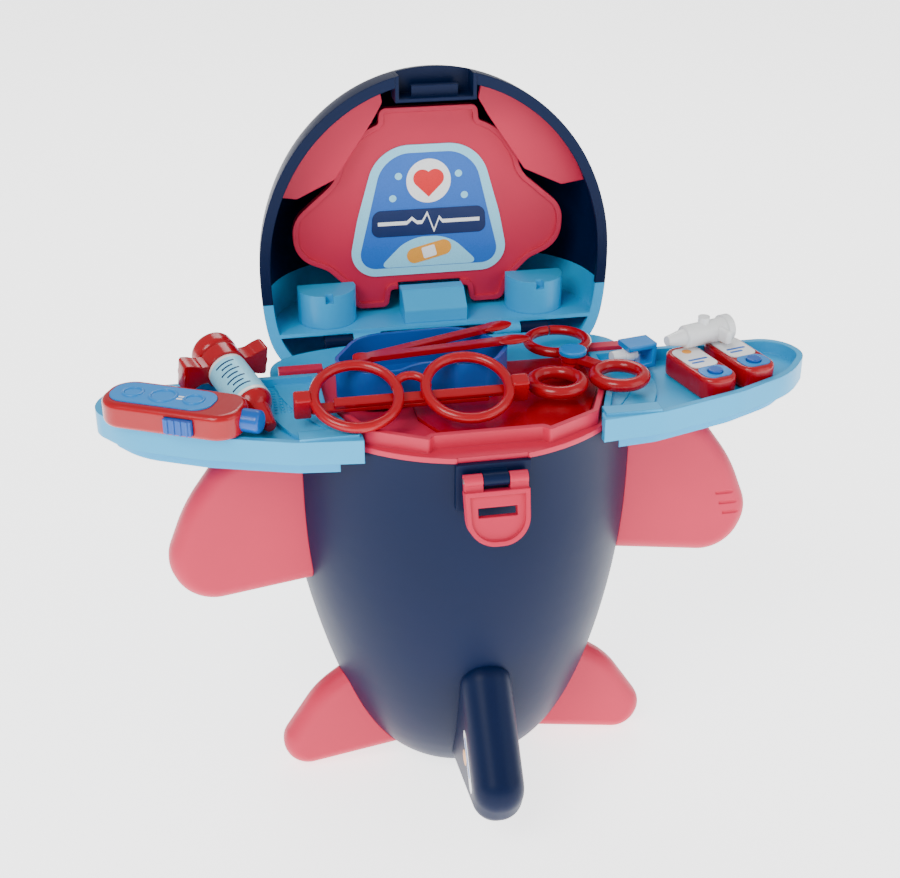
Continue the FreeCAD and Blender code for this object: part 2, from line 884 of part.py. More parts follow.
def deck_parts():
    """The pink deck with its raised stepped wall, the red floor and the pale rear cowl."""
    rim = rim_prism("DeckRim", 0, dim.deck_lip.number, dim.case_height.number, deck_top.number)
    inner = -(dim.case_wall + dim.skirt_gap).number
    low = (dim.case_height - dim.skirt_depth).number
    high = (dim.case_height + dim.rest_gap).number
    skirt = cut(
        "DeckSkirt", rim_prism("SkirtOuter", inner, 0, low, high),
        rim_prism(
            "SkirtInner", inner - dim.skirt_thickness.number, 0, low - dim.overrun.number, deck_top.number,
        ),
    )
    plate = fuse("DeckPlate", rim, skirt)
    width = dim.case_half_width * 3
    deep = dim.case_back * 3
    front_half = side_of(
        "DeckFront", plate, width, deep, dim.case_height, 0, dim.deck_rear - deep / 2, dim.case_height / 2,
    )
    rear_half = side_of(
        "DeckBack", plate, width, deep, dim.case_height,
        0, dim.deck_rear + deep / 2 + dim.rest_gap, dim.case_height / 2,
    )
    # Wall corners as shares of the deck's side and of the front reach; the middle is set back.
    step = dim.deck_step
    near = dim.case_front - dim.deck_wall_inset
    bend = dim.deck_wall / 2
    right_side = [
        (deck_side * 0.37, -near + step, bend),
        (deck_side * 0.41, -near, bend),
        (deck_side * 0.80, -near * 0.74, bend),
        (deck_side, -near * 0.16, bend),
        (deck_side, dim.deck_rear, 0),
    ]
    left_side = [(-across, along, turn) for across, along, turn in reversed(right_side)]
    flat = outline("WallOutline", right_side + left_side, z=deck_top - dim.rest_gap)
    block = slab("WallBlock", flat, dim.deck_wall_height)
    room = slab(
        "WallRoom", inset("WallInner", flat, dim.deck_wall), dim.deck_wall_height + dim.overrun,
    )
    behind = box(
        "WallBehind", deck_side * 3, deep, dim.deck_wall_height * 3,
        0, deep / 2 - near * 0.16, deck_top - dim.deck_wall_height,
    )
    wall = cut("DeckWall", block, room, behind)
    ears = []
    for side, sign in (("Right", 1), ("Left", -1)):
        ears.append(
            box(
                "Ear" + side, dim.ear_width, dim.ear_depth, dim.deck_wall_height - dim.rest_gap,
                (deck_side + dim.ear_width / 2 - dim.deck_wall) * sign,
                dim.deck_rear - dim.ear_depth / 2, deck_top - dim.rest_gap,
            )
        )
    notch = box(
        "LipNotch", dim.mount_width * 0.95, dim.deck_lip * 2, dim.deck_thickness * 3,
        0, -dim.case_front - dim.deck_lip, dim.case_height - dim.deck_thickness,
    )
    frame = cut("DeckFrame", fuse("DeckJoined", front_half, wall, *ears), notch)
    keep(frame, "deck_frame")
    keep(rear_half, "rear_cowl")

    gap = dim.deck_wall + dim.button_clearance
    floor = [
        (-deck_side * 0.40, -near * 0.40, near * 0.12),
        (-deck_side * 0.28, -near * 0.72, near * 0.12),
        (deck_side * 0.34, -near + step + gap, bend),
        (deck_side * 0.42, -near + step + gap, bend),
        (deck_side * 0.78 - gap, -near * 0.70 + gap / 2, bend),
        (deck_side * 0.985 - gap, -near * 0.12, bend),
        (deck_side * 0.985 - gap, dim.deck_rear - gap, bend),
        (-deck_side * 0.40, dim.deck_rear - gap, bend),
    ]
    red = slab("FloorPlate", outline("FloorOutline", floor, z=deck_top), dim.floor_thickness)
    keep(red, "deck_floor")


tray_low = deck_top - dim.tray_drop
tray_top = tray_low + dim.tray_band
tray_floor_top = tray_top - dim.tray_floor_drop


def tray_parts():
    """The right tray and its mirror: a raised band, a floor, an underside step and an inner tongue."""
    reach, front, back = dim.tray_reach, dim.tray_front, dim.tray_back
    side = deck_side + dim.tray_gap
    near = dim.case_front - dim.deck_wall_inset
    corners = [
        (dim.tray_root, -front, 0),
        (reach * 0.49, -front * 0.93, front * 0.45),
        (reach * 0.73, -front * 0.65, front * 0.9),
        (reach * 0.91, -front * 0.33, front),
        (reach, back * 0.20, back * 0.6),
        (reach * 0.965, back, back * 0.66),
        (side, back, 0),
        (side, -near * 0.16, 0),
        (dim.tray_root, -near * 0.76 - dim.tray_gap, 0),
    ]
    flat = outline("TrayOutline", corners, z=tray_low)
    band = slab("TrayBand", flat, dim.tray_band)
    room = slab(
        "TrayRoom", inset("TrayInner", flat, dim.tray_wall), dim.tray_band,
        z=tray_floor_top - tray_low,
    )
    step_flat = inset("TrayStepOutline", flat, dim.tray_step)
    step_slab = slab("TrayStep", step_flat, dim.tray_pan_depth + dim.rest_gap, z=-dim.tray_pan_depth)
    hollow = slab(
        "TrayHollow", inset("TrayHollowOutline", flat, dim.tray_step + dim.tray_floor),
        dim.tray_pan_depth + tray_floor_top - tray_low - dim.tray_floor + dim.overrun,
        z=-dim.tray_pan_depth - dim.overrun,
    )
    arm = box(
        "TrayArm", dim.tray_arm_length, dim.tray_arm_width, dim.tray_band + dim.tray_arm_rise,
        dim.tray_root + (dim.tray_wall + dim.tray_arm_length) / 2,
        -front * 0.93 + dim.tray_arm_width / 2, tray_low,
    )
    rim = rim_prism(
        "TrayRim", dim.tray_gap.number, dim.deck_lip.number, 0, deck_top.number + dim.rest_gap.number,
    )
    tongue_flat = outline("TongueOutline", corners, z=deck_top + dim.rest_gap)
    tongue = slab("TrayTongue", tongue_flat, dim.tray_tongue)
    rim_tall = rim_prism("TongueRim", 0, 0, deck_top.number, tray_top.number)
    tongue_in = common("TongueIn", tongue, rim_tall)
    outside = cut("TrayOutside", fuse("TrayJoined", cut("TrayOpen", band, room), step_slab, arm), rim, hollow)
    right = keep(fuse("TraySolid", outside, tongue_in), "right_tray")
    keep(mirrored("LeftTray", right), "left_tray")


def hinge_parts():
    """Knuckles for the rear shell and the lid's chin on one steel pin behind the rim."""
    keep(
        rod("HingePin", dim.hinge_pin_radius, dim.hinge_half_length * 2,
            -dim.hinge_half_length, hinge_y, hinge_z, "x"),
        "hinge_pin",
    )
    length, web = dim.hinge_knuckle_length, dim.hinge_web
    radius = dim.hinge_knuckle_radius
    body_x = dim.hinge_half_length - length / 2
    lid_x = body_x - length - dim.hinge_knuckle_gap
    behind = dim.hinge_offset + radius - dim.button_clearance
    body_side, lid_side = [], []
    for side, sign in (("Right", 1), ("Left", -1)):
        for pieces, kind, x in ((body_side, "Body", body_x), (lid_side, "Lid", lid_x)):
            pieces.append(
                rod(f"{kind}Knuckle{side}", radius, length, x * sign - length / 2, hinge_y, hinge_z, "x")
            )
        body_side += [
            box(f"BodyWeb{side}", length, web * 1.35, web, body_x * sign, hinge_y - web * 0.25,
                dim.case_height - dim.button_clearance - web),
            box(f"BodyRiser{side}", length, behind, hinge_z - dim.case_height + radius, body_x * sign,
                dim.case_back + dim.button_clearance + behind / 2, dim.case_height - radius),
        ]
        lid_side.append(
            box(f"LidWeb{side}", length, web, dim.hinge_offset + dim.lid_wall / 2, lid_x * sign,
                hinge_y + web / 2, hinge_z)
        )
    bore = rod(
        "HingeBore", dim.hinge_pin_radius + dim.pin_clearance, dim.hinge_half_length * 2 + dim.overrun * 2,
        -dim.hinge_half_length - dim.overrun, hinge_y, hinge_z, "x",
    )
    return body_side, lid_side, bore


# Right half of the panel's outline, from the bottom up: shares of its half width and its height,
# and the corner's radius as a share of the half width.
PANEL_SHARES = (
    (0.29, 0.09, 0.03),
    (0.31, 0.0, 0.05),
    (0.55, 0.0, 0.07),
    (0.60, 0.11, 0.10),
    (0.75, 0.21, 0.20),
    (0.985, 0.28, 0.22),
    (1.0, 0.47, 0.22),
    (0.68, 0.655, 0.25),
    (0.635, 0.76, 0.40),
    (0.50, 0.885, 0.37),
    (0.36, 0.925, 0.03),
    (0.35, 1.0, 0.05),
)
# Right half of the label's outline, in the same shares of the label's own size.
LABEL_SHARES = ((1.0, 0.0, 0.30), (0.855, 0.45, 2.0), (0.60, 1.0, 0.50))
# One liner slab: shares of the rim's half width and of the lid's height.
LINER_SHARES = (
    (0.27, 0.86),
    (0.30, 0.98),
    (0.90, 0.98),
    (0.95, 0.53),
    (0.76, 0.51),
    (0.54, 0.58),
    (0.33, 0.79),
)
# Posts behind the panel: shares of its half width and height.
PANEL_POST_SHARES = ((0.72, 0.40), (-0.72, 0.40), (0.40, 0.82), (-0.40, 0.82))


def lid_parts(knuckles):
    """The open lid: dome, chin, inner panel, label, liners, catch, drums and hinge block."""
    wall, overrun = dim.lid_wall, dim.overrun
    span = dim.case_half_width * 3
    tall = lid_high - lid_low
    form = solid("LidForm", dome(0, dim.lid_depth.number))
    mouth = rim_plate(wall.number, overrun.number)
    mouth.translate(Vector(0, -overrun.number, 0))
    hollow = solid("LidHollow", dome(wall.number, (dim.lid_depth - wall).number).fuse(mouth))
    thickness = dim.lid_rim_thickness.number
    flange = solid(
        "LidFlange", rim_plate(0, thickness).cut(rim_plate(dim.lid_rim_width.number, thickness)),
    )
    shell = fuse("LidShellAll", cut("LidWall", form, hollow), flange)
    line = lid_low + dim.chin_height
    upper = side_of("LidUpper", shell, span, span, tall * 2, 0, hinge_y, line)
    strip = (dim.chin_height + dim.lid_apron + dim.rest_gap * 2) / CHIN_STRIPS
    strips = []
    for number in range(CHIN_STRIPS):
        strip_low = line - dim.rest_gap - strip * (number + 1)
        left = side_of(f"LidStrip{number}", shell, span / 2, span, strip, -span / 4, hinge_y, strip_low)
        strips += [left, mirrored(f"LidStripRight{number}", left)]

    panel_y = hinge_y + dim.panel_depth
    panel_low = lid_low + dim.panel_low
    posts, pilots, pegs = [], [], []
    for number, (across, up) in enumerate(PANEL_POST_SHARES):
        x = dim.panel_half_width * across
        z = panel_low + dim.panel_height * up
        back = panel_y + dim.panel_thickness
        posts.append(
            rod(f"PanelPost{number}", dim.panel_post_radius, dim.lid_depth, x, back + dim.rest_gap, z, "y")
        )
        hole = dim.screw_radius + dim.pin_clearance
        pilots.append(rod(f"PanelPilot{number}", hole, dim.screw_length, x, back, z, "y"))
        peg_y = back - dim.panel_thickness / 2
        pegs.append(
            rod(f"PanelPeg{number}", dim.screw_radius, dim.screw_length * 0.8, x, peg_y, z, "y")
        )
    core = solid("LidCore", dome(wall.number / 2, (dim.lid_depth - wall / 2).number))
    posts_in = common("PanelPostsIn", fuse("PanelPosts", *posts), core)

    catch_block = box(
        "CatchBlock", dim.catch_width, dim.catch_depth, dim.catch_height * 2,
        0, hinge_y + dim.catch_depth / 2, lid_high - dim.catch_height,
    )
    room = box(
        "CatchRoom", dim.catch_width + dim.rest_gap * 2, dim.catch_depth * 2, dim.catch_height * 2,
        0, hinge_y, lid_high - dim.catch_height - dim.rest_gap,
    )
    pocket = box(
        "CatchPocket", dim.catch_width - dim.catch_wall * 2, dim.catch_depth * 2, dim.catch_height * 2,
        0, hinge_y - dim.catch_wall, lid_high - dim.catch_height + dim.catch_wall,
    )
    bar = box(
        "CatchBar", dim.catch_bar_width, dim.catch_bar_depth, dim.catch_bar_height,
        0, hinge_y + dim.catch_depth * 0.45, lid_high - dim.catch_height + dim.catch_wall - dim.rest_gap,
    )
    seat = common("CatchSeat", catch_block, form)
    keep(fuse("Catch", cut("CatchCup", seat, pocket), bar), "lid_catch")
    keep(cut("LidShell", fuse("LidJoined", upper, posts_in), room, *pilots), "lid_shell")

    plate = box(
        "ChinPlate", span, dim.chin_panel_thickness, dim.chin_panel_height,
        0, hinge_y + dim.chin_panel_depth + dim.chin_panel_thickness / 2, lid_low,
    )
    chin_plate = cut(
        "ChinPlateIn", common("ChinPlateAll", plate, core),
        box("ChinPlateTop", span, span, tall, 0, hinge_y, line - dim.rest_gap),
    )
    shelf = common(
        "ChinShelf", core,
        box("ChinShelfBoard", span, dim.shelf_depth, wall, 0, hinge_y + dim.shelf_depth / 2, lid_low),
    )
    chin = fuse("Chin", *strips, chin_plate, shelf, knuckles)
    chin.Refine = False
    keep(chin, "lid_chin")

    panel_front = dim.panel_depth - dim.panel_border_rise - dim.rest_gap * 2
    for side, sign in (("right", 1), ("left", -1)):
        drum = rod(
            f"{side}Drum", dim.drum_radius, dim.drum_height, dim.drum_place * sign,
            hinge_y + dim.lid_rim_thickness + dim.drum_radius + dim.rest_gap, lid_low + wall + dim.rest_gap,
        )
        ahead = box(
            f"{side}DrumRoom", dim.drum_radius * 3, panel_front - dim.lid_rim_thickness - dim.rest_gap * 2,
            tall, dim.drum_place * sign, hinge_y + (panel_front + dim.lid_rim_thickness) / 2, lid_low,
        )
        notch = box(
            f"{side}DrumNotch", dim.drum_notch, dim.drum_notch * 2, dim.drum_notch * 2,
            dim.drum_place * sign, hinge_y + dim.lid_rim_thickness,
            lid_low + wall + dim.drum_height - dim.drum_notch,
        )
        inside = common(f"{side}DrumIn", common(f"{side}DrumFront", drum, ahead), hollow)
        keep(cut(f"{side}DrumCut", inside, notch), f"{side}_chin_drum")

    depth, height = dim.block_depth, dim.block_height
    front = hinge_y + dim.lid_rim_thickness + dim.rest_gap
    seat_z = lid_low + wall + dim.rest_gap
    block = [
        (front, seat_z, 0),
        (front, lid_low + height * 0.55, height * 0.10),
        (front + depth * 0.55, lid_low + height, height * 0.14),
        (front + depth, lid_low + height, 0),
        (front + depth, seat_z, 0),
    ]
    wedge = slab(
        "BlockWedge", outline("BlockOutline", block, "yz", x=-dim.block_width / 2), dim.block_width, ACROSS,
    )
    keep(wedge, "hinge_block")

    half = dim.panel_half_width
    right_side = [
        (half * across, panel_low + dim.panel_height * up, half * turn) for across, up, turn in PANEL_SHARES
    ]
    left_side = [(-across, up, turn) for across, up, turn in reversed(right_side)]
    flat = outline("PanelOutline", right_side + left_side, "xz", y=panel_y)
    plain = slab("PanelPlate", flat, dim.panel_thickness, ALONG_Y)
    rim = slab("PanelRim", flat, dim.panel_border_rise + dim.rest_gap, -ALONG_Y, y=dim.rest_gap)
    field = slab(
        "PanelField", inset("PanelInner", flat, dim.panel_border), dim.panel_border_rise + dim.overrun,
        -ALONG_Y, y=dim.rest_gap,
    )
    block_room = box(
        "PanelBlockRoom", dim.block_width + dim.button_clearance * 2, span,
        dim.block_height + dim.button_clearance, 0, hinge_y, lid_low,
    )
    joined = fuse("PanelJoined", plain, cut("PanelBorder", rim, field))
    inside = common("PanelIn", joined, hollow)
    keep(fuse("Panel", cut("PanelCleared", inside, block_room), *pegs), "lid_panel")

    wide = dim.label_half_width
    low = lid_low + dim.label_low
    right_side = [
        (wide * across, low + dim.label_height * up, wide * turn) for across, up, turn in LABEL_SHARES
    ]
    left_side = [(-across, up, turn) for across, up, turn in reversed(right_side)]
    label = outline("LabelOutline", right_side + left_side, "xz", y=panel_y - dim.rest_gap)
    sticker = slab("LabelSheet", label, dim.label_thickness, -ALONG_Y)
    keep(sticker, "lid_label")

    half = dim.case_half_width
    liner = [(half * across, lid_low + tall * up, half * 0.03) for across, up in LINER_SHARES]
    liner_face = outline("LinerOutline", liner, "xz", y=hinge_y + dim.liner_depth)
    slab_right = slab("LinerSlab", liner_face, dim.liner_thickness, ALONG_Y)
    right = keep(common("LinerRight", slab_right, hollow), "right_lid_liner")
    keep(mirrored("LinerLeft", right), "left_lid_liner")


def lay(labels, x, y, z, turn):
    """Lays the pieces of one tool down together."""
    for label in labels:
        place(nodes[label], x, y, z, turn)


def rise(angle):
    return math.sin(math.radians(angle.number))


def glasses_parts():
    """Toy spectacles, lying on their folded temples with the front edge on the deck's wall."""
    half = dim.lens_spacing / 2
    ring_right = ring("LensRight", dim.lens_radius, dim.lens_rod, half, 0, 0)
    ring_left = ring("LensLeft", dim.lens_radius, dim.lens_rod, -half, 0, 0)
    arch = half - dim.lens_radius + dim.lens_rod * 0.4
    bridge = ring("Bridge", arch, dim.bridge_rod, 0, dim.lens_radius * 0.14, 0, 180)
    lug_x = half + dim.lens_radius + dim.lens_rod * 0.5 + dim.lug_block_width / 2
    lugs = []
    for side, sign in (("Right", 1), ("Left", -1)):
        block = box(
            "EndLug" + side, dim.lug_block_width, dim.lug_block_height, dim.lug_block_depth * 2,
            lug_x * sign, 0, -dim.lug_block_depth * 1.5,
        )
        lugs.append(rounded("EndLugSoft" + side, block, dim.lens_rod * 0.5))
    keep(fuse("Glasses", ring_right, ring_left, bridge, *lugs), "glasses_frame")
    inner = lug_x - dim.lug_block_width / 2 - dim.rest_gap
    for layer, (side, sign) in enumerate((("right", 1), ("left", -1))):
        low = -dim.lens_rod - dim.rest_gap - (dim.temple_thickness + dim.rest_gap) * (layer + 1)
        bar = box(
            f"{side}TempleBar", dim.temple_length, dim.temple_width, dim.temple_thickness,
            (inner - dim.temple_length / 2) * sign, 0, low,
        )
        keep(rounded(f"{side}Temple", bar, dim.temple_thickness * 0.3), f"{side}_temple")
    lift = deck_top + dim.deck_wall_height + dim.lens_radius * rise(dim.lens_tilt) + dim.lens_rod
    lay(
        ("glasses_frame", "right_temple", "left_temple"),
        -dim.glasses_x, -dim.glasses_y, lift, Rotation(ACROSS, dim.lens_tilt.number),
    )


# Kidney outline: shares of the dish's length and width, and radius shares of the width.
DISH_SHARES = (
    (-0.50, -0.10, 0.22),
    (-0.36, -0.50, 0.26),
    (-0.16, -0.50, 0.20),
    (0.0, -0.30, 0.40),
    (0.16, -0.50, 0.20),
    (0.36, -0.50, 0.26),
    (0.50, -0.10, 0.22),
    (0.30, 0.50, 0.45),
    (-0.30, 0.50, 0.45),
)


def dish_parts():
    """The kidney dish and the spoon-tipped tweezers that lie across it."""
    corners = [
        (dim.dish_length * across, dim.dish_width * along, dim.dish_width * turn)
        for across, along, turn in DISH_SHARES
    ]
    flat = outline("DishOutline", corners)
    block = slab("DishBlock", flat, dim.dish_height)
    room = slab("DishRoom", inset("DishInner", flat, dim.dish_wall), dim.dish_height, z=dim.dish_wall)
    keep(cut("Dish", block, room), "kidney_dish")
    dish_low = floor_top + dim.rest_gap
    lay(("kidney_dish",), -dim.dish_x, dim.dish_y, dish_low, Rotation(UP, dim.dish_turn.number))

    arms = [rod("TweezerBend", dim.tweezer_width * 0.9, dim.tweezer_thickness, 0, 0, 0)]
    for side, sign in (("Right", -1), ("Left", 1)):
        turn = Rotation(UP, dim.tweezer_spread.number * sign)
        bar = doc.addObject("Part::Box", "TweezerArm" + side)
        bind(bar, Length=dim.tweezer_length, Width=dim.tweezer_width, Height=dim.tweezer_thickness)
        corner = turn.multVec(Vector(0, -dim.tweezer_width.number / 2, 0))
        bar.Placement = FreeCAD.Placement(corner, turn)
        spoon = doc.addObject("Part::Ellipsoid", "TweezerSpoon" + side)
        bind(
            spoon, Radius1=dim.tweezer_thickness * 0.6, Radius2=dim.spoon_length / 2,
            Radius3=dim.spoon_width / 2,
        )
        end = turn.multVec(Vector(dim.tweezer_length.number, 0, dim.tweezer_thickness.number / 2))
        spoon.Placement = FreeCAD.Placement(end, turn)
        arms += [bar, spoon]
    keep(fuse("Tweezers", *arms), "tweezers")
    lay(
        ("tweezers",), -dim.tweezer_x, dim.tweezer_y,
        dish_low + dim.dish_height + dim.rest_gap + dim.tweezer_thickness * 0.1,
        Rotation(UP, dim.tweezer_turn.number),
    )


def forceps_parts():
    """Ring forceps: two crossing halves on a rivet, with a round cap over it."""
    low = dim.loop_rod
    layer = dim.half_thickness + dim.half_gap
    for number, (label, sign) in enumerate((("forceps_lower_half", 1), ("forceps_upper_half", -1))):
        z = low - layer + dim.half_gap / 2 + layer * number
        boss = rod(f"Boss{number}", dim.boss_radius, dim.half_thickness, 0, 0, z)
        jaw = ring(f"Jaw{number}", dim.jaw_radius, dim.jaw_rod, 0, dim.jaw_centre, low, 180)
        half_turn = Rotation(UP, -90 * sign)
        place(jaw, dim.jaw_gap / 2 * sign, dim.jaw_centre, low, half_turn)
        neck_length = dim.jaw_centre - dim.jaw_radius
        neck = box(
            f"Neck{number}", dim.shank_width * 0.9, neck_length, dim.half_thickness,
            (dim.shank_width * 0.45 + dim.jaw_gap / 2) * sign, neck_length / 2, z,
        )
        loop = ring(f"Loop{number}", dim.loop_radius, dim.loop_rod, -dim.loop_side * sign, -dim.loop_back, low)
        shank = doc.addObject("Part::Box", f"Shank{label}")
        reach = math.hypot(dim.loop_side.number, dim.loop_back.number)
        bind(shank, Width=dim.shank_width, Height=dim.half_thickness)
        shank.Length = reach - dim.loop_radius.number
        swing = Rotation(UP, math.degrees(math.atan2(-dim.loop_back.number, -dim.loop_side.number * sign)))
        corner = swing.multVec(Vector(0, -dim.shank_width.number / 2, 0))
        shank.Placement = FreeCAD.Placement(corner + Vector(0, 0, z.number), swing)
        bore = rod(f"RivetBore{number}", dim.rivet_radius + dim.rivet_clearance, low * 4, 0, 0, -low)
        keep(cut(f"Half{number}", fuse(f"HalfJoined{number}", boss, jaw, neck, loop, shank), bore), label)
    top = low + layer - dim.half_gap / 2 + dim.half_gap
    rivet = rod("Rivet", dim.rivet_radius, top + dim.cap_height - low + layer, 0, 0, low - layer)
    cap = rod("CapDisc", dim.cap_radius, dim.cap_height, 0, 0, top)
    keep(fuse("Cap", rivet, rounded("CapSoft", cap, dim.cap_height * 0.3)), "forceps_cap")
    lay(
        ("forceps_lower_half", "forceps_upper_half", "forceps_cap"), dim.forceps_x, dim.forceps_y,
        deck_top + dim.deck_wall_height + dim.rest_gap, Rotation(UP, dim.forceps_turn.number),
    )


def syringe_parts():
    """A fat toy syringe: cone nozzle, printed barrel, winged collar and a capped plunger."""
    nozzle = cone("NozzleCone", dim.nozzle_tip_radius, dim.nozzle_base_radius, dim.nozzle_length, 0, 0, 0, "y")
    keep(rounded("NozzleSoft", nozzle, dim.nozzle_tip_radius * 0.4), "syringe_nozzle")
    start = dim.nozzle_length + dim.rest_gap
    tube = rod("BarrelTube", dim.barrel_radius, dim.barrel_length, 0, start, 0, "y")
    hollow = rod(
        "BarrelRoom", dim.barrel_radius - dim.barrel_wall, dim.barrel_length,
        0, start + dim.barrel_wall, 0, "y",
    )
    keep(cut("Barrel", tube, hollow), "syringe_barrel")
    collar_y = start + dim.barrel_length + dim.rest_gap
    disc = rod("CollarDisc", dim.barrel_radius * 1.12, dim.collar_thickness, 0, collar_y, 0, "y")
    wings = []
    for side, sign in (("Right", 1), ("Left", -1)):
        wings.append(
            rod("CollarWing" + side, dim.collar_height / 2, dim.collar_thickness,
                (dim.collar_span - dim.collar_height) / 2 * sign, collar_y, 0, "y")
        )
    bar = box(
        "CollarBar", dim.collar_span - dim.collar_height, dim.collar_thickness, dim.collar_height * 0.7,
        0, collar_y + dim.collar_thickness / 2, -dim.collar_height * 0.35,
    )
    bore = rod(
        "CollarBore", dim.rod_radius + dim.rod_clearance, dim.collar_thickness * 3,
        0, collar_y - dim.collar_thickness, 0, "y",
    )
    keep(cut("Collar", fuse("CollarJoined", disc, bar, *wings), bore), "syringe_collar")
    head_y = collar_y + dim.collar_thickness + dim.plunger_gap
    stem = rod("PlungerRod", dim.rod_radius, dim.rod_length + dim.rest_gap, 0, head_y - dim.rod_length, 0, "y")
    knob = rod("PlungerKnob", dim.cap_dome_radius, dim.cap_dome_length, 0, head_y, 0, "y")
    soft = rounded("PlungerSoft", knob, dim.cap_dome_length * 0.35)
    keep(fuse("Plunger", stem, soft), "syringe_plunger")
    pitch = math.radians(dim.syringe_pitch.number)
    lift = tray_floor_top + dim.barrel_radius * math.cos(pitch) - dim.nozzle_length * math.sin(pitch)
    turn = Rotation(UP, dim.syringe_turn.number).multiply(Rotation(ACROSS, dim.syringe_pitch.number))
    lay(
        ("syringe_nozzle", "syringe_barrel", "syringe_collar", "syringe_plunger"),
        -dim.syringe_x, -dim.syringe_y, lift + dim.rest_gap * 2, turn,
    )


# Rings along the scanner's face, each as its place along it and its size, and ribs along its button
SCANNER_RING_SHARES = ((-0.30, 1.0), (0.0, 1.35), (0.30, 1.0))
SCANNER_RIB_SHARES = (-0.36, -0.12, 0.12, 0.36)


def scanner_parts():
    """A flat hand scanner with an inset face of embossed rings, a side button and a blunt tip."""
    height, width, length = dim.scanner_height, dim.scanner_width, dim.scanner_length
    block = box("ScannerBlock", length, width, height, 0, 0, 0)
    ends = rounded("ScannerEnds", block, width * 0.42, flat_across_z)
    soft = rounded("ScannerSoft", ends, dim.scanner_round * 0.6, flat_edges(UP))
    face_x = -length * 0.08
    face_low = height - dim.scanner_face_thickness * 0.5
    recess = box(
        "ScannerRecess", dim.scanner_face_length + dim.rest_gap * 2,
        dim.scanner_face_width + dim.rest_gap * 2, height, face_x, 0, face_low - dim.rest_gap,
    )
    face_bend = dim.scanner_face_width * 0.42
    seat = rounded("ScannerSeat", recess, face_bend, flat_across_z)
    button_x = length * 0.12
    button_z = (height - dim.scanner_button_height) / 2
    well = box(
        "ScannerWell", dim.scanner_button_length + dim.button_clearance * 2, dim.scanner_button_depth * 2,
        dim.scanner_button_height + dim.button_clearance * 2,
        button_x, -width / 2, button_z - dim.button_clearance,
    )
    socket = rod(
        "ScannerSocket", dim.scanner_tip_radius + dim.rest_gap, length, length * 0.44, 0, height / 2, "x",
    )
    keep(cut("ScannerCase", soft, seat, well, socket), "scanner_case")
    sheet = box(
        "ScannerSheet", dim.scanner_face_length, dim.scanner_face_width, dim.scanner_face_thickness,
        face_x, 0, face_low,
    )
    plate = rounded("ScannerPlate", sheet, face_bend, flat_across_z)
    rings = [
        ring(f"ScannerRing{number}", dim.scanner_ring_radius * share, dim.scanner_ring_rod,
             face_x + dim.scanner_face_length * across, 0, face_low + dim.scanner_face_thickness)
        for number, (across, share) in enumerate(SCANNER_RING_SHARES)
    ]
    keep(fuse("ScannerFace", plate, *rings), "scanner_face")
    proud = dim.scanner_button_proud
    key = box(
        "ScannerKey", dim.scanner_button_length, proud + dim.button_clearance, dim.scanner_button_height,
        button_x, -width / 2 - proud / 2 + dim.button_clearance / 2, button_z,
    )
    ribs = [
        box(f"ScannerRib{number}", dim.scanner_button_length * 0.08, proud * 0.5, dim.scanner_button_height,
            button_x + dim.scanner_button_length * across, -width / 2 - proud, button_z)
        for number, across in enumerate(SCANNER_RIB_SHARES)
    ]
    keep(fuse("ScannerButton", key, *ribs), "scanner_button")
    tip = rod(
        "ScannerTip", dim.scanner_tip_radius, length * 0.06 + dim.scanner_tip_length,
        length * 0.44 + dim.rest_gap, 0, height / 2, "x",
    )
    keep(rounded("ScannerTipSoft", tip, dim.scanner_tip_radius * 0.3), "scanner_tip")
    lay(
        ("scanner_case", "scanner_face", "scanner_button", "scanner_tip"),
        -dim.scanner_x, -dim.scanner_y, tray_top + dim.rest_gap, Rotation(UP, -dim.scanner_turn.number),
    )


def flat_across_z(edge):
    """Chooses upright edges."""
    low, high = edge.Vertexes[0].Point, edge.Vertexes[-1].Point
    return abs(low.x - high.x) < FLATNESS and abs(low.y - high.y) < FLATNESS


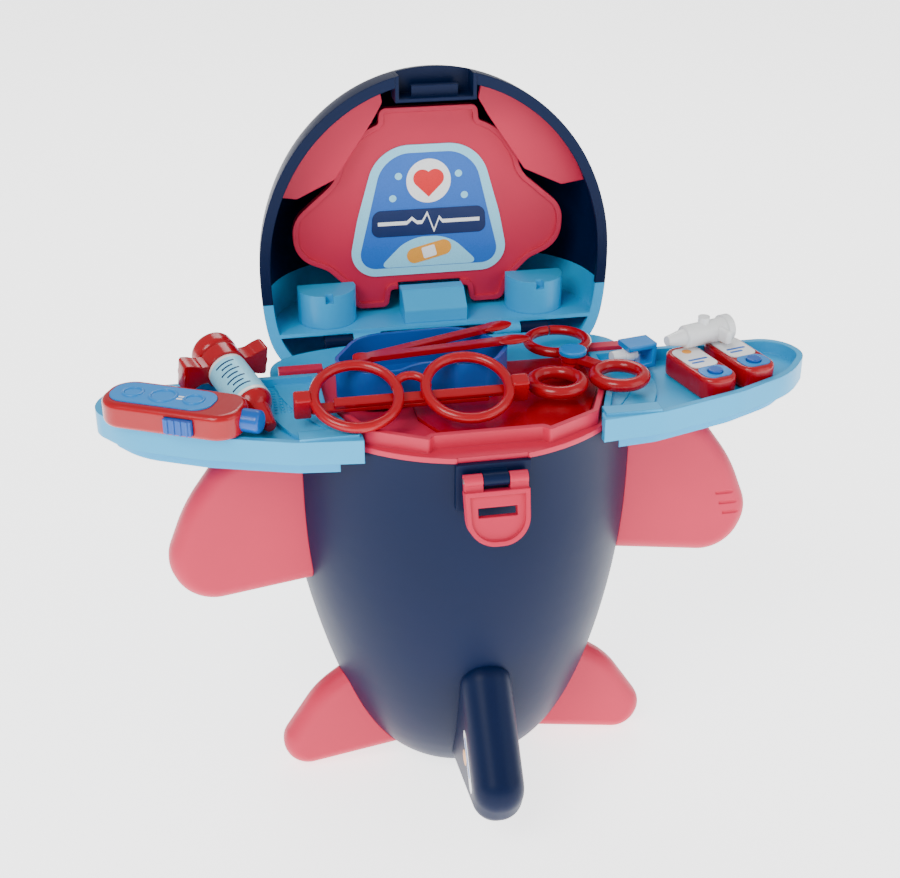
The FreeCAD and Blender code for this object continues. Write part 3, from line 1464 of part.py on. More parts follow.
def pager_parts():
    """Two like pagers: a red case, a white face plate, a blue pad and a round button."""
    height, width, length = dim.pager_height, dim.pager_width, dim.pager_length
    for name, x, y in (
        ("first", dim.pager_first_x, dim.pager_first_y), ("second", dim.pager_second_x, dim.pager_second_y),
    ):
        block = box(name + "Block", width, length, height, 0, 0, 0)
        ends = rounded(name + "Ends", block, width * 0.42, flat_across_z)
        soft = rounded(name + "Soft", ends, dim.pager_round * 0.5, flat_edges(UP))
        face_low = height - dim.pager_face_thickness * 0.5
        face_y = length * 0.13
        pad_y = face_y - dim.pager_face_length / 2 - dim.pager_pad_length / 2 - dim.rest_gap
        recess = box(
            name + "Recess", dim.pager_face_width + dim.rest_gap * 2,
            dim.pager_face_length + dim.pager_pad_length + dim.rest_gap * 3,
            height, 0, face_y - dim.pager_pad_length / 2, face_low - dim.rest_gap,
        )
        face_bend = dim.pager_face_width * 0.30
        seat = rounded(name + "Seat", recess, face_bend, flat_across_z)
        well = rod(
            name + "Well", dim.pager_button_radius + dim.button_clearance, height,
            0, pad_y, face_low - dim.pager_button_depth,
        )
        keep(cut(name + "Case", soft, seat, well), name + "_pager_case")
        plate = box(
            name + "Plate", dim.pager_face_width, dim.pager_face_length, dim.pager_face_thickness,
            0, face_y, face_low,
        )
        keep(rounded(name + "Face", plate, face_bend, flat_across_z), name + "_pager_face")
        block = box(
            name + "PadBlock", dim.pager_face_width, dim.pager_pad_length, dim.pager_face_thickness,
            0, pad_y, face_low,
        )
        pad = rounded(name + "Pad", block, face_bend, flat_across_z)
        keep(cut(name + "PadHoled", pad, rod(
            name + "PadHole", dim.pager_button_radius + dim.button_clearance, height * 2, 0, pad_y, 0,
        )), name + "_pager_pad")
        key = rod(
            name + "Key", dim.pager_button_radius, dim.pager_button_proud + dim.pager_face_thickness,
            0, pad_y, face_low,
        )
        keep(rounded(name + "KeySoft", key, dim.pager_button_proud * 0.4), name + "_pager_button")
        lay(
            [f"{name}_pager_{piece}" for piece in ("case", "face", "pad", "button")],
            x, -y, tray_floor_top + dim.rest_gap, Rotation(UP, dim.pager_turn.number),
        )


def scope_parts():
    """A folded blue ear scope with a white nose, and a white winged injector."""
    plate, width, length = dim.scope_plate, dim.scope_width, dim.scope_length
    foot = box("ScopeFoot", length, width, plate, 0, 0, 0)
    spine = box("ScopeSpine", plate, width, dim.scope_height, length / 2 - plate / 2, 0, 0)
    top = box("ScopeTop", length * 0.8, width, plate, length * 0.1, 0, dim.scope_height - plate)
    body = fuse("ScopeBody", foot, spine, top)
    keep(rounded("ScopeSoft", body, plate * 0.3, flat_edges(ALONG_Y)), "ear_scope_head")
    radius = dim.scope_nose_radius
    nose_z = plate + radius * 1.15 + dim.rest_gap
    barrel = rod("NoseBarrel", radius, dim.scope_nose_length, -length * 0.62, 0, nose_z, "x")
    collar = rod(
        "NoseCollar", radius * 1.15, dim.scope_nose_length * 0.35,
        -length * 0.62 + dim.scope_nose_length * 0.5, 0, plate + radius * 1.15 + dim.rest_gap, "x",
    )
    keep(fuse("Nose", barrel, collar), "ear_scope_nose")
    lay(
        ("ear_scope_head", "ear_scope_nose"), dim.scope_x, dim.scope_y,
        deck_top + dim.tray_tongue + dim.rest_gap * 2, Rotation(UP, dim.scope_turn.number),
    )

    radius, length = dim.injector_radius, dim.injector_length
    tube = rod("InjectorTube", radius, length, -length / 2, 0, 0, "x")
    tube_soft = rounded("InjectorSoft", tube, radius * 0.25)
    spout = cone(
        "InjectorSpout", radius * 0.42, radius * 0.8, dim.injector_spout_length + radius * 0.3,
        -length / 2 - dim.injector_spout_length, 0, 0, "x",
    )
    wing = box(
        "InjectorWing", dim.injector_wing_thickness, dim.injector_wing_span, radius * 1.2,
        length * 0.22, 0, -radius * 0.6,
    )
    wing_soft = rounded("InjectorWingSoft", wing, dim.injector_wing_thickness * 0.3)
    knob = rod("InjectorKnob", radius * 0.5, radius * 1.5, -length * 0.05, 0, 0)
    flange = rod("InjectorFlange", radius * 1.18, length * 0.14, length * 0.38, 0, 0, "x")
    keep(fuse("Injector", tube_soft, spout, wing_soft, knob, flange), "winged_injector")
    pager_top = tray_floor_top + dim.pager_height + dim.pager_face_thickness / 2
    lay(
        ("winged_injector",), dim.injector_x, dim.injector_y,
        pager_top + radius * 1.18 + dim.rest_gap * 2, Rotation(UP, dim.injector_turn.number),
    )


def main():
    form, core, front, rear = body_parts()
    holes = wing_parts(form)
    holes.append(fin_part(form))
    latch_parts(form)
    deck_parts()
    tray_parts()
    body_side, lid_side, bore = hinge_parts()
    keep(cut("FrontShell", front, *holes), "front_shell")
    knuckles = cut("BodyKnuckles", fuse("BodyKnucklesAll", *body_side), core, bore)
    rear_shell = keep(fuse("RearShell", rear, knuckles), "rear_shell")
    rear_shell.Refine = False
    lid_parts(cut("LidKnuckles", fuse("LidKnucklesAll", *lid_side), bore))
    glasses_parts()
    dish_parts()
    forceps_parts()
    syringe_parts()
    scanner_parts()
    pager_parts()
    scope_parts()
    doc.recompute()
    failed = [item.Name for item in doc.Objects if "Invalid" in item.State or "Error" in item.State]
    if failed:
        raise RuntimeError("failed: " + ", ".join(failed))
    empty = [
        label for label, item in nodes.items()
        if item.Shape.isNull() or not item.Shape.isValid() or not item.Shape.Solids
    ]
    if empty:
        raise RuntimeError("no valid solid: " + ", ".join(empty))
    os.makedirs("parts", exist_ok=True)
    for label, item in nodes.items():
        item.Shape.exportStep(f"parts/{label}.step")


main()
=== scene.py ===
import json
import math

import bpy
from bpy.props import FloatProperty, FloatVectorProperty, PointerProperty
from mathutils import Matrix, Vector


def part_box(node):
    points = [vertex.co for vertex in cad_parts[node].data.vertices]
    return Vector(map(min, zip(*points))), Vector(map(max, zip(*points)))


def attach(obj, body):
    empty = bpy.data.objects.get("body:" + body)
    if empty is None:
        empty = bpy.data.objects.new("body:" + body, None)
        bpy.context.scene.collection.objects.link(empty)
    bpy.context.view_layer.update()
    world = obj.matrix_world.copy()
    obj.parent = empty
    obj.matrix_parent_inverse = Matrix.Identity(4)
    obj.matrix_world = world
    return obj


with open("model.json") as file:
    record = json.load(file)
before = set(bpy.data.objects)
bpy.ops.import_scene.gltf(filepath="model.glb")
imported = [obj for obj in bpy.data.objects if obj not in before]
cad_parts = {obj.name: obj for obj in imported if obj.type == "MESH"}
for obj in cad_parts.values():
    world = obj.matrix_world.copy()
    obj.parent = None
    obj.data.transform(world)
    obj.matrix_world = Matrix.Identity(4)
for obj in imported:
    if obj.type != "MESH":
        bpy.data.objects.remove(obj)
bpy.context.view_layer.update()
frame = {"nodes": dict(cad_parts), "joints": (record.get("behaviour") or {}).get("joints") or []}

bl_info = {
    "name": "Toy Doctor Case",
    "version": (1, 0, 0),
    "blender": (4, 5, 0),
    "location": "View3D > Sidebar > Doctor Case",
    "description": "Dresses the aircraft-shaped toy doctor case and sets up its studio",
    "category": "Object",
}

MM = 0.001

# Lengths are in millimetres, except where metres are named, and angles are in degrees.
# Two spots closer than this are one spot.
NEAR = 0.01

# Features of the finishes: flow marks, soft edges, dot screen, sheen, turning streaks and paper fibres.
FLOW = 55
EDGE = 0.9
SCREEN = 0.7
SHEEN = 12
STREAK = 0.6
FIBRE = 2
SATIN = {"grain": 0.9, "relief": 0.03}
GLOSS = {"grain": 2.5, "relief": 0.01}
THIN_COAT = {"coat": 0.12, "specular": 0.3, **GLOSS}

# Ledges on the tray floors, in rows of (y, nearest x, farthest x), with a deeper lip along the outer side.
LEDGE_ROWS = (
    (26, 84.5, 104.5), (-4, 84.5, 104.5), (-11.5, 84.5, 103.6), (-18, 81.8, 101.8), (-31, 76.2, 96),
    (-41.5, 72, 88.5),
)
LEDGE_FOOT = 233.3
LEDGE_TOP = 234.3
LEDGE_ROUND = 0.4
LIP_FOOT = 232.03
LIP_WIDTH = 2

# Grip dots on the left ledge.
DOT_RADIUS = 0.95
DOT_HEIGHT = 0.8
DOT_INSET = 0.35
DOT_CROWN = 0.15
DOT_PITCH = 3.4
DOT_ROWS = 9
DOT_COLUMNS = 4
DOT_CORNER = (-101.4, -6, LEDGE_TOP)

# The lid's label: points of the pulse line, the plaster's slant and the bubbles' distances from the first.
PULSE = (
    (-30, 0), (-13, 0), (-10, 2.6), (-7, 0), (-4, 0), (-1, 5.4), (3, -5.6), (6, 2.4), (8, 0), (30, 0),
)
PULSE_WIDTH = 2.2
PLASTER_SLANT = 14
BUBBLES = ((3.5, 13), (42, 0), (38.5, 13))

# The syringe: its sleeve and scale, domed front and flared grips, in steps of (rise, x share, y share).
SCALE_FACES = (-0.25, -0.5, 0.8)
SLEEVE_SHARE = 0.86
SLEEVE_GAP = 0.03
MARK_GAP = 0.16
MARK_HEIGHT = 0.9
MARK_COUNT = 7
MARK_ANGLES = (("long", 30), ("short", 17))
DOME_SHARE = 0.97
DOME_FOOT = 1.4
DOME_LEAD = 0.8
DOME_STEPS = ((0.9, 0.97, 0.97), (2.6, 0.86, 0.86), (2.6, 0.72, 0.72), (2.0, 0.62, 0.62))
GRIP_HALVES = (4.75, 5.4, 3)
GRIP_STEPS = ((4.0, 1, 1.36), (6.0, 1, 1.22))
GRIP_ROUND = 2.6
GRIP_REACH = 11.5
ROUND_SHADING = 35
GRIP_SHADING = 40

# How the pagers and the scanner lie on the trays, and how far the scanner's rings stand up.
PAGER_TURN = 14
SCANNER_TURN = -27
RING_RISE = 0.8

# The fin's print and the studio, in metres. Lights: name, share of the key light, size, place and aim.
FIN_PLACE = (-0.0835, 0.052)
FIN_LEAN = (0, 0.035, 0.047)
LIGHTS = (
    ("Key", 1.0, 0.9, (-0.9, -1.0, 1.5), (0, 0, 0.2)),
    ("Fill", 0.35, 1.2, (1.3, -0.9, 0.9), (0, 0, 0.2)),
    ("Rim", 0.45, 0.8, (0.3, 1.3, 1.5), (0, 0, 0.25)),
)
SKY_STRENGTH = 0.6
FLOOR_DROP = 0.2 * MM
CAMERA_PLACE = (-0.144, -0.713, 0.577)
CAMERA_TURN = (63, 0, -10.78)
SENSOR_WIDTH = 36


def linear(code):
    """An sRGB hex colour as linear red, green and blue."""
    shares = [int(code[i:i + 2], 16) / 255 for i in (1, 3, 5)]
    return tuple(s / 12.92 if s <= 0.04045 else ((s + 0.055) / 1.055) ** 2.4 for s in shares)


def colour_property(name, words, code):
    """A colour setting with its tooltip and its hex default."""
    return FloatVectorProperty(
        name=name, description=words, subtype="COLOR", size=3, min=0, max=1, default=linear(code))


class CaseColours(bpy.types.PropertyGroup):
    """Colours of the moulded plastics and the printed films."""
    navy: colour_property("Navy", "Fuselage, lid and tail fin", "#061638")
    pink: colour_property("Pink", "Wings, latch, deck and inner panel", "#C92346")
    pale_blue: colour_property("Pale blue", "Trays, cowl and the lid's chin", "#2BA6DC")
    red: colour_property("Red", "Deck floor and glossy instruments", "#A60014")
    dish_blue: colour_property("Dish blue", "Kidney dish, buttons and the scanner's tip", "#0555AE")
    sky: colour_property("Sky blue", "Scanner's face, ear scope, rivet cap and pager pads", "#0B84D2")
    white: colour_property("White", "White instruments and pager faces", "#F1F3F4")
    film_cyan: colour_property("Film cyan", "Border of the printed label", "#92E0FA")
    film_blue: colour_property("Film blue", "Field of the printed label", "#2468C4")
    film_navy: colour_property("Film navy", "Ribbon of the printed label", "#062357")
    film_red: colour_property("Film red", "Heart of the printed label", "#E3121F")
    film_tan: colour_property("Film tan", "Plaster and dots of the prints", "#F2A23A")
    film_white: colour_property("Film white", "White ink of the prints", "#F7FAFB")


class CaseSizes(bpy.types.PropertyGroup):
    """Sizes of the printed films and the studio."""
    film: FloatProperty(
        name="Film", description="Thickness of one printed layer", default=0.12 * MM, min=0, unit="LENGTH")
    lens: FloatProperty(
        name="Lens", description="Focal length of the camera in millimetres", default=59.88, min=1)
    floor: FloatProperty(
        name="Floor", description="Width of the studio floor", default=14.0, min=1, unit="LENGTH")
    key_power: FloatProperty(
        name="Key light", description="Power of the main soft light", default=24.0, min=0, unit="POWER")


def colours():
    """The scene's colour settings."""
    return bpy.context.scene.case_colours


def sizes():
    """The scene's size settings."""
    return bpy.context.scene.case_sizes


def node(tree, kind, settings=None, links=None):
    """Adds a node, sets its options or sockets and links sources to its sockets."""
    item = tree.nodes.new(kind)
    for key, value in (settings or {}).items():
        if isinstance(key, str) and hasattr(item, key):
            setattr(item, key, value)
        else:
            item.inputs[key].default_value = value
    for socket, source in (links or {}).items():
        tree.links.new(source, item.inputs[socket])
    return item


def shades(colour, first, second):
    """Two shades of a colour, each a share of it."""
    return [tuple(min(1, c * share) for c in colour) + (1,) for share in (first, second)]


def blank(name):
    """A new material, its empty tree and its Object coordinates."""
    material = bpy.data.materials.new(name)
    material.use_nodes = True
    tree = material.node_tree
    tree.nodes.clear()
    return material, tree, node(tree, "ShaderNodeTexCoord").outputs["Object"]


def noise(tree, place, size, detail, roughness=0.5):
    """Cloudy noise with features of a size."""
    settings = {"Scale": 1 / (size * MM), "Detail": detail, "Roughness": roughness}
    return node(tree, "ShaderNodeTexNoise", settings, {"Vector": place}).outputs["Fac"]


def blend(tree, first, second, factor):
    """A colour between two shades."""
    mix = node(tree, "ShaderNodeMix", {"data_type": "RGBA", 6: first, 7: second}, {0: factor})
    return mix.outputs[2]


def spread(tree, low, high, value):
    """A value from 0 to 1, spread from low to high."""
    span = node(tree, "ShaderNodeMapRange", {"To Min": low, "To Max": high}, {"Value": value})
    return span.outputs["Result"]


def surface(tree, settings, links):
    """Ends a tree with a principled surface."""
    shader = node(tree, "ShaderNodeBsdfPrincipled", settings, links)
    node(tree, "ShaderNodeOutputMaterial", None, {"Surface": shader.outputs["BSDF"]})


def moulded(name, colour, roughness, grain, relief, coat=0.0, specular=0.5):
    """Injection-moulded plastic: faint flow mottling, a fine tool texture, uneven gloss and soft edges."""
    material, tree, place = blank(name)
    flow = noise(tree, place, FLOW, 3.0)
    texture = noise(tree, place, grain, 2.0, 0.6)
    edge = node(tree, "ShaderNodeBevel", {"samples": 4, "Radius": EDGE * MM})
    bump = node(
        tree, "ShaderNodeBump", {"Strength": 0.35, "Distance": relief * MM},
        {"Height": texture, "Normal": edge.outputs["Normal"]})
    surface(
        tree,
        {"IOR": 1.53, "Specular IOR Level": specular, "Coat Weight": coat, "Coat Roughness": 0.06},
        {"Base Color": blend(tree, *shades(colour, 0.88, 1.10), flow),
         "Roughness": spread(tree, roughness * 0.8, roughness * 1.25, flow),
         "Normal": bump.outputs["Normal"]})
    return material


def printed(name, colour):
    """Ink printed on laminated film: a faint dot screen, drawn coarser than it is, under a smooth gloss."""
    material, tree, place = blank(name)
    screen = node(tree, "ShaderNodeTexVoronoi", {"Scale": 1 / (SCREEN * MM)}, {"Vector": place})
    sheen = noise(tree, place, SHEEN, 2.0)
    surface(
        tree, {"IOR": 1.5, "Specular IOR Level": 0.35},
        {"Base Color": blend(tree, *shades(colour, 1.05, 0.92), screen.outputs["Distance"]),
         "Roughness": spread(tree, 0.3, 0.42, sheen)})
    return material


def turned_steel(name):
    """Turned steel pin or screw: fine streaks in the gloss."""
    material, tree, place = blank(name)
    streak = noise(tree, place, STREAK, 4.0)
    surface(
        tree, {"Metallic": 1.0, "Base Color": linear("#B9BBBE") + (1,)},
        {"Roughness": spread(tree, 0.22, 0.42, streak)})
    return material


def studio_paper(name):
    """Matt seamless paper on a light table: barely visible fibres and an even glow."""
    material, tree, place = blank(name)
    fibre = noise(tree, place, FIBRE, 2.0)
    surface(
        tree,
        {"Roughness": 0.95, "Specular IOR Level": 0.1, "Emission Color": (1, 1, 1, 1),
         "Emission Strength": 2.4},
        {"Base Color": blend(tree, *shades(linear("#F8F8F8"), 0.985, 1.0), fibre)})
    return material


def dress(material, *names):
    """Gives CAD nodes a finish."""
    for name in names:
        mesh = frame["nodes"][name].data
        mesh.materials.clear()
        mesh.materials.append(material)


def alone(piece):
    """Leaves one object selected and active."""
    bpy.ops.object.select_all(action="DESELECT")
    piece.select_set(True)
    bpy.context.view_layer.objects.active = piece


def named(piece, name):
    """Names an object and its mesh alike."""
    piece.name = name
    piece.data.name = name
    return piece


def start(kind, name, **settings):
    """Adds a primitive by itself and opens it for shaping."""
    bpy.ops.object.select_all(action="DESELECT")
    getattr(bpy.ops.mesh, f"primitive_{kind}_add")(**settings)
    piece = named(bpy.context.object, name)
    bpy.ops.object.mode_set(mode="EDIT")
    return piece


def choose(piece, test, kind="VERT"):
    """Selects the corners or faces whose middle passes a test."""
    bpy.ops.mesh.select_mode(type=kind)
    bpy.ops.mesh.select_all(action="DESELECT")
    bpy.ops.object.mode_set(mode="OBJECT")
    mesh = piece.data
    items = mesh.vertices if kind == "VERT" else mesh.polygons
    for item in items:
        item.select = bool(test(item.co if kind == "VERT" else item.center))
    bpy.ops.object.mode_set(mode="EDIT")


def shift(x, y, z=0.0):
    """Moves what is selected."""
    bpy.ops.transform.translate(value=(x * MM, y * MM, z * MM))


def extrude(x, y, z):
    """Draws out what is selected."""
    bpy.ops.mesh.extrude_region_move(TRANSFORM_OT_translate={"value": (x * MM, y * MM, z * MM)})


def thicken(height=None):
    """Raises a flat shape to a solid, one printed layer thick unless a height is given."""
    bpy.ops.mesh.select_all(action="SELECT")
    extrude(0, 0, sizes().film / MM if height is None else height)
    bpy.ops.mesh.select_all(action="SELECT")
    bpy.ops.mesh.normals_make_consistent(inside=False)


def taper(piece, reach, steps):
    """Draws the top face up from a height, in steps of (rise, x share, y share)."""
    for rise, x_share, y_share in steps:
        choose(piece, lambda spot: spot.z > (reach - NEAR) * MM, "FACE")
        extrude(0, 0, rise)
        reach += rise
        bpy.ops.transform.resize(value=(x_share, y_share, 1), center_override=(0, 0, reach * MM))


def close(piece):
    """Ends the shaping and leaves the piece selected."""
    bpy.ops.object.mode_set(mode="OBJECT")
    alone(piece)
    return piece


def smooth(degrees):
    """Shades the selected piece smooth over edges up to an angle."""
    bpy.ops.object.shade_smooth_by_angle(angle=math.radians(degrees))


def settle(piece, where, body, material):
    """Moves a shaped piece to its place, keeps the place in its mesh and lets it ride on a body."""
    alone(piece)
    piece.matrix_world = where
    bpy.ops.object.transform_apply(location=True, rotation=True, scale=True)
    piece.data.materials.clear()
    piece.data.materials.append(material)
    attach(piece, body)


def discard(*pieces):
    """Deletes shapes that were only needed on the way."""
    for piece in pieces:
        alone(piece)
        bpy.ops.object.delete()


def apply_modifier(piece, kind, **settings):
    """Adds a modifier and makes its result permanent."""
    alone(piece)
    modifier = piece.modifiers.new(kind.title(), kind)
    for key, value in settings.items():
        setattr(modifier, key, value)
    bpy.ops.object.modifier_apply(modifier=modifier.name)


def merge(piece, other):
    """Makes one solid of a piece and another, which is used up."""
    apply_modifier(piece, "BOOLEAN", operation="UNION", object=other, solver="EXACT")
    discard(other)


def copied(piece, x=0.0, y=0.0, z=0.0):
    """A copy with its own mesh, shifted."""
    alone(piece)
    bpy.ops.object.duplicate(linked=False)
    shift(x, y, z)
    return bpy.context.object


def joined(name, pieces):
    """One object made of several."""
    alone(pieces[0])
    for piece in pieces[1:]:
        piece.select_set(True)
    bpy.ops.object.join()
    bpy.ops.object.transform_apply(location=True, rotation=True, scale=True)
    return named(pieces[0], name)


def stadium(name, length, width):
    """A flat bar with round ends, along x."""
    piece = start("circle", name, vertices=40, radius=width / 2 * MM, fill_type="NGON")
    for sign in (1, -1):
        choose(piece, lambda spot: spot.x * sign > NEAR * MM)
        shift((length - width) / 2 * sign, 0)
    thicken()
    return close(piece)


def disc(name, radius):
    """A round dot of ink with an inner ring of edges."""
    piece = start("circle", name, vertices=48, radius=radius * MM, fill_type="NGON")
    thicken()
    choose(piece, lambda spot: spot.z > sizes().film * 0.9, "FACE")
    bpy.ops.mesh.inset(thickness=sizes().film)
    return close(piece)


def plate(name, low_half, high_half, half_height, low_round, high_round):
    """A flat plate with its own half width and corner radius at the foot and at the top."""
    piece = start("plane", name, size=2 * MM)
    for sign, half in ((-1, low_half), (1, high_half)):
        choose(piece, lambda spot: spot.y * sign > 0)
        bpy.ops.transform.resize(value=(half, half_height, 1), center_override=(0, 0, 0))
    for sign, radius in ((-1, low_round), (1, high_round)):
        choose(piece, lambda spot: spot.y * sign > half_height * 0.99 * MM)
        bpy.ops.mesh.bevel(offset=radius * MM, segments=10, affect="VERTICES")
    thicken()
    return close(piece)


def ribbon(name, points, height):
    """A line of ink through points, made by drawing an upright edge along."""
    piece = start("plane", name, size=height * MM)
    half = height / 2
    choose(piece, lambda spot: spot.x < 0)
    shift(points[0][0] + half, points[0][1])
    choose(piece, lambda spot: spot.x > half * 0.99 * MM)
    shift(points[1][0] - half, points[1][1])
    for here, ahead in zip(points[1:], points[2:]):
        extrude(ahead[0] - here[0], ahead[1] - here[1], 0)
    thicken()
    return close(piece)


def strip(name, rows, sign, low, high):
    """A solid strip between two heights, along rows of (y, nearest x, farthest x) that start above y = 0."""
    piece = start("plane", name, size=2 * MM)
    for side, (y, _, _) in zip((1, -1), rows):
        choose(piece, lambda spot: spot.y * side > 0)
        shift(0, y - side)
    ends = (-1, 1)
    for here, (y, near, far) in enumerate(rows):
        if here > 1:
            last_y, *ends = rows[here - 1]
            choose(piece, lambda spot: abs(spot.y - last_y * MM) < NEAR * MM)
            extrude(0, y - last_y, 0)
        for old, new in zip(ends, (near, far)):
            corner = Vector((old * sign * MM, y * MM, 0))
            choose(piece, lambda spot: (spot - corner).length < NEAR * MM)
            shift((new - old) * sign, 0)
    bpy.ops.mesh.select_all(action="SELECT")
    shift(0, 0, low)
    thicken(high - low)
    return close(piece)


def heart(name, side):
    """A square on its corner with a round lobe on each upper side."""
    piece = start("plane", name, size=side * MM)
    bpy.ops.transform.rotate(value=math.radians(45), orient_axis="Z", center_override=(0, 0, 0))
    thicken()
    close(piece)
    reach = side / 2 * math.sqrt(0.5)
    for sign in (1, -1):
        lobe = start("circle", name + "_lobe", vertices=48, radius=side / 2 * MM, fill_type="NGON")
        shift(reach * sign, reach)
        thicken()
        merge(piece, close(lobe))
    return piece


def on_face(origin, along, normal):
    """A flat drawing's place: its x runs along, and its z points out of the face."""
    z = Vector(normal).normalized()
    x = (Vector(along) - z * z.dot(Vector(along))).normalized()
    y = z.cross(x)
    turn = Matrix((x, y, z)).transposed().to_4x4()
    return Matrix.Translation(origin) @ turn


def on_top(box, degrees, drop=0.0):
    """A drawing's place on top of a box, or a drop below it, turned about the upright."""
    low, high = box
    middle = (low + high) / 2
    turn = math.radians(degrees)
    origin = (middle.x, middle.y, high.z - drop * MM)
    return on_face(origin, (math.cos(turn), math.sin(turn), 0), (0, 0, 1))


def turned(x, y, degrees=0.0, layer=0):
    """A place within a drawing, on top of a number of layers."""
    lift = sizes().film * layer
    return Matrix.Translation((x * MM, y * MM, lift)) @ Matrix.Rotation(math.radians(degrees), 4, "Z")


class CASE_OT_shell(bpy.types.Operator):
    """Finishes the navy fuselage, lid and fin, the pink wings, deck and panel, and the steel pins"""
    bl_idname = "case.shell"
    bl_label = "Shell"

    def execute(self, context):
        c = colours()
        navy = moulded("ABS moulded navy satin", c.navy, 0.40, specular=0.12, **SATIN)
        pink = moulded("ABS moulded pink satin", c.pink, 0.42, specular=0.25, **SATIN)
        dress(navy, "front_shell", "rear_shell", "tail_fin", "lid_shell", "lid_catch", "latch_mount")
        dress(pink, "right_wing", "left_wing", "right_stabiliser", "left_stabiliser", "latch_lever",
              "deck_frame", "lid_panel", "right_lid_liner", "left_lid_liner")
        dress(turned_steel("Turned steel"), "shell_screws", "hinge_pin", "latch_pin")
        return {"FINISHED"}


class CASE_OT_trays(bpy.types.Operator):
    """Finishes the pale blue trays, chin and cowl, and raises the ledges and grip dots on the tray floors"""
    bl_idname = "case.trays"
    bl_label = "Trays"

    def execute(self, context):
        pale = moulded("ABS moulded pale blue", colours().pale_blue, 0.36, specular=0.25, **SATIN)
        dress(pale, "right_tray", "left_tray", "lid_chin", "right_chin_drum", "left_chin_drum",
              "hinge_block", "rear_cowl")
        lip_rows = [(y, far - LIP_WIDTH, far) for y, _, far in LEDGE_ROWS]
        for body, sign in (("right_side_tray", 1), ("left_side_tray", -1)):
            ledge = strip(body + "_ledge", LEDGE_ROWS, sign, LEDGE_FOOT, LEDGE_TOP)
            merge(ledge, strip("lip", lip_rows, sign, LIP_FOOT, LEDGE_TOP))
            apply_modifier(ledge, "BEVEL", width=LEDGE_ROUND * MM, segments=2, limit_method="ANGLE")
            settle(ledge, Matrix(), body, pale)
        dot = start("cylinder", "grip_dot", vertices=10, radius=DOT_RADIUS * MM, depth=DOT_HEIGHT * MM)
        choose(dot, lambda spot: spot.z > 0, "FACE")
        bpy.ops.mesh.inset(thickness=DOT_INSET * MM)
        shift(0, 0, DOT_CROWN)
        close(dot)
        dots = [dot]
        for row in range(DOT_ROWS):
            for column in range(DOT_COLUMNS):
                if row or column:
                    dots.append(copied(dot, DOT_PITCH * column, DOT_PITCH * row))
        grip = joined("left_tray_grip_dots", dots)
        spot = Matrix.Translation(Vector(DOT_CORNER) * MM)
        settle(grip, spot, "left_side_tray", pale)
        return {"FINISHED"}


class CASE_OT_instruments(bpy.types.Operator):
    """Finishes the deck floor and the glossy toy instruments"""
    bl_idname = "case.instruments"
    bl_label = "Instruments"

    def execute(self, context):
        c = colours()
        red = moulded("Polystyrene moulded red gloss", c.red, 0.2, **THIN_COAT)
        dish = moulded("Polystyrene moulded blue gloss", c.dish_blue, 0.22, **THIN_COAT)
        sky = moulded("Polystyrene moulded sky blue", c.sky, 0.24, **THIN_COAT)
        white = moulded("Polystyrene moulded white", c.white, 0.24, coat=0.3, **GLOSS)
        dress(red, "deck_floor", "glasses_frame", "right_temple", "left_temple", "tweezers",
              "forceps_lower_half", "forceps_upper_half", "syringe_nozzle", "syringe_plunger",
              "syringe_collar", "scanner_case", "first_pager_case", "second_pager_case")
        dress(dish, "kidney_dish", "first_pager_button", "second_pager_button", "scanner_button",
              "scanner_tip")
        dress(sky, "scanner_face", "ear_scope_head", "forceps_cap", "first_pager_pad", "second_pager_pad")
        dress(white, "syringe_barrel", "first_pager_face", "second_pager_face", "ear_scope_nose",
              "winged_injector")
        return {"FINISHED"}


class CASE_OT_label(bpy.types.Operator):
    """Prints the lid's label: a heart, a pulse line on a ribbon, a plaster and bubbles"""
    bl_idname = "case.label"
    bl_label = "Lid label"

    def execute(self, context):
        c = colours()
        cyan = printed("Vinyl film printed cyan", c.film_cyan)
        blue = printed("Vinyl film printed blue", c.film_blue)
        navy = printed("Vinyl film printed navy", c.film_navy)
        red = printed("Vinyl film printed red", c.film_red)
        tan = printed("Vinyl film printed tan", c.film_tan)
        white = printed("Vinyl film printed white", c.film_white)
        dress(cyan, "lid_label")
        low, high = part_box("lid_label")
        face = on_face((0, low.y, (low.z + high.z) / 2), (1, 0, 0), (0, -1, 0))
        # Each print with its place on the sheet and its ink, from the lowest layer up.
        drawing = (
            (plate("label_field", 43, 26, 34.3, 12, 15), turned(0, 0), blue),
            (plate("label_hill", 30, 12, 9, 6, 9), turned(0, -25, 0, 1), cyan),
            (plate("label_ribbon", 34, 33, 8, 5, 5), turned(0, -7, 0, 2), navy),
            (ribbon("label_pulse", PULSE, PULSE_WIDTH), turned(0, -7, 0, 3), white),
            (disc("label_roundel", 13), turned(0, 17.5, 0, 1), white),
            (heart("label_heart", 10.5), turned(0, 15.4, 0, 2), red),
            (stadium("label_plaster", 27, 9.5), turned(0, -25.2, PLASTER_SLANT, 3), tan),
            (plate("label_plaster_pad", 4, 4, 3.4, 1, 1), turned(0, -25.2, PLASTER_SLANT, 4), white),
        )
        for piece, spot, ink in drawing:
            settle(piece, face @ spot, "lid", ink)
        bubble = disc("label_bubbles", 2.1)
        bubbles = joined("label_bubbles", [bubble] + [copied(bubble, x, y) for x, y in BUBBLES])
        settle(bubbles, face @ turned(-21, 8, 0, 1), "lid", cyan)
        return {"FINISHED"}


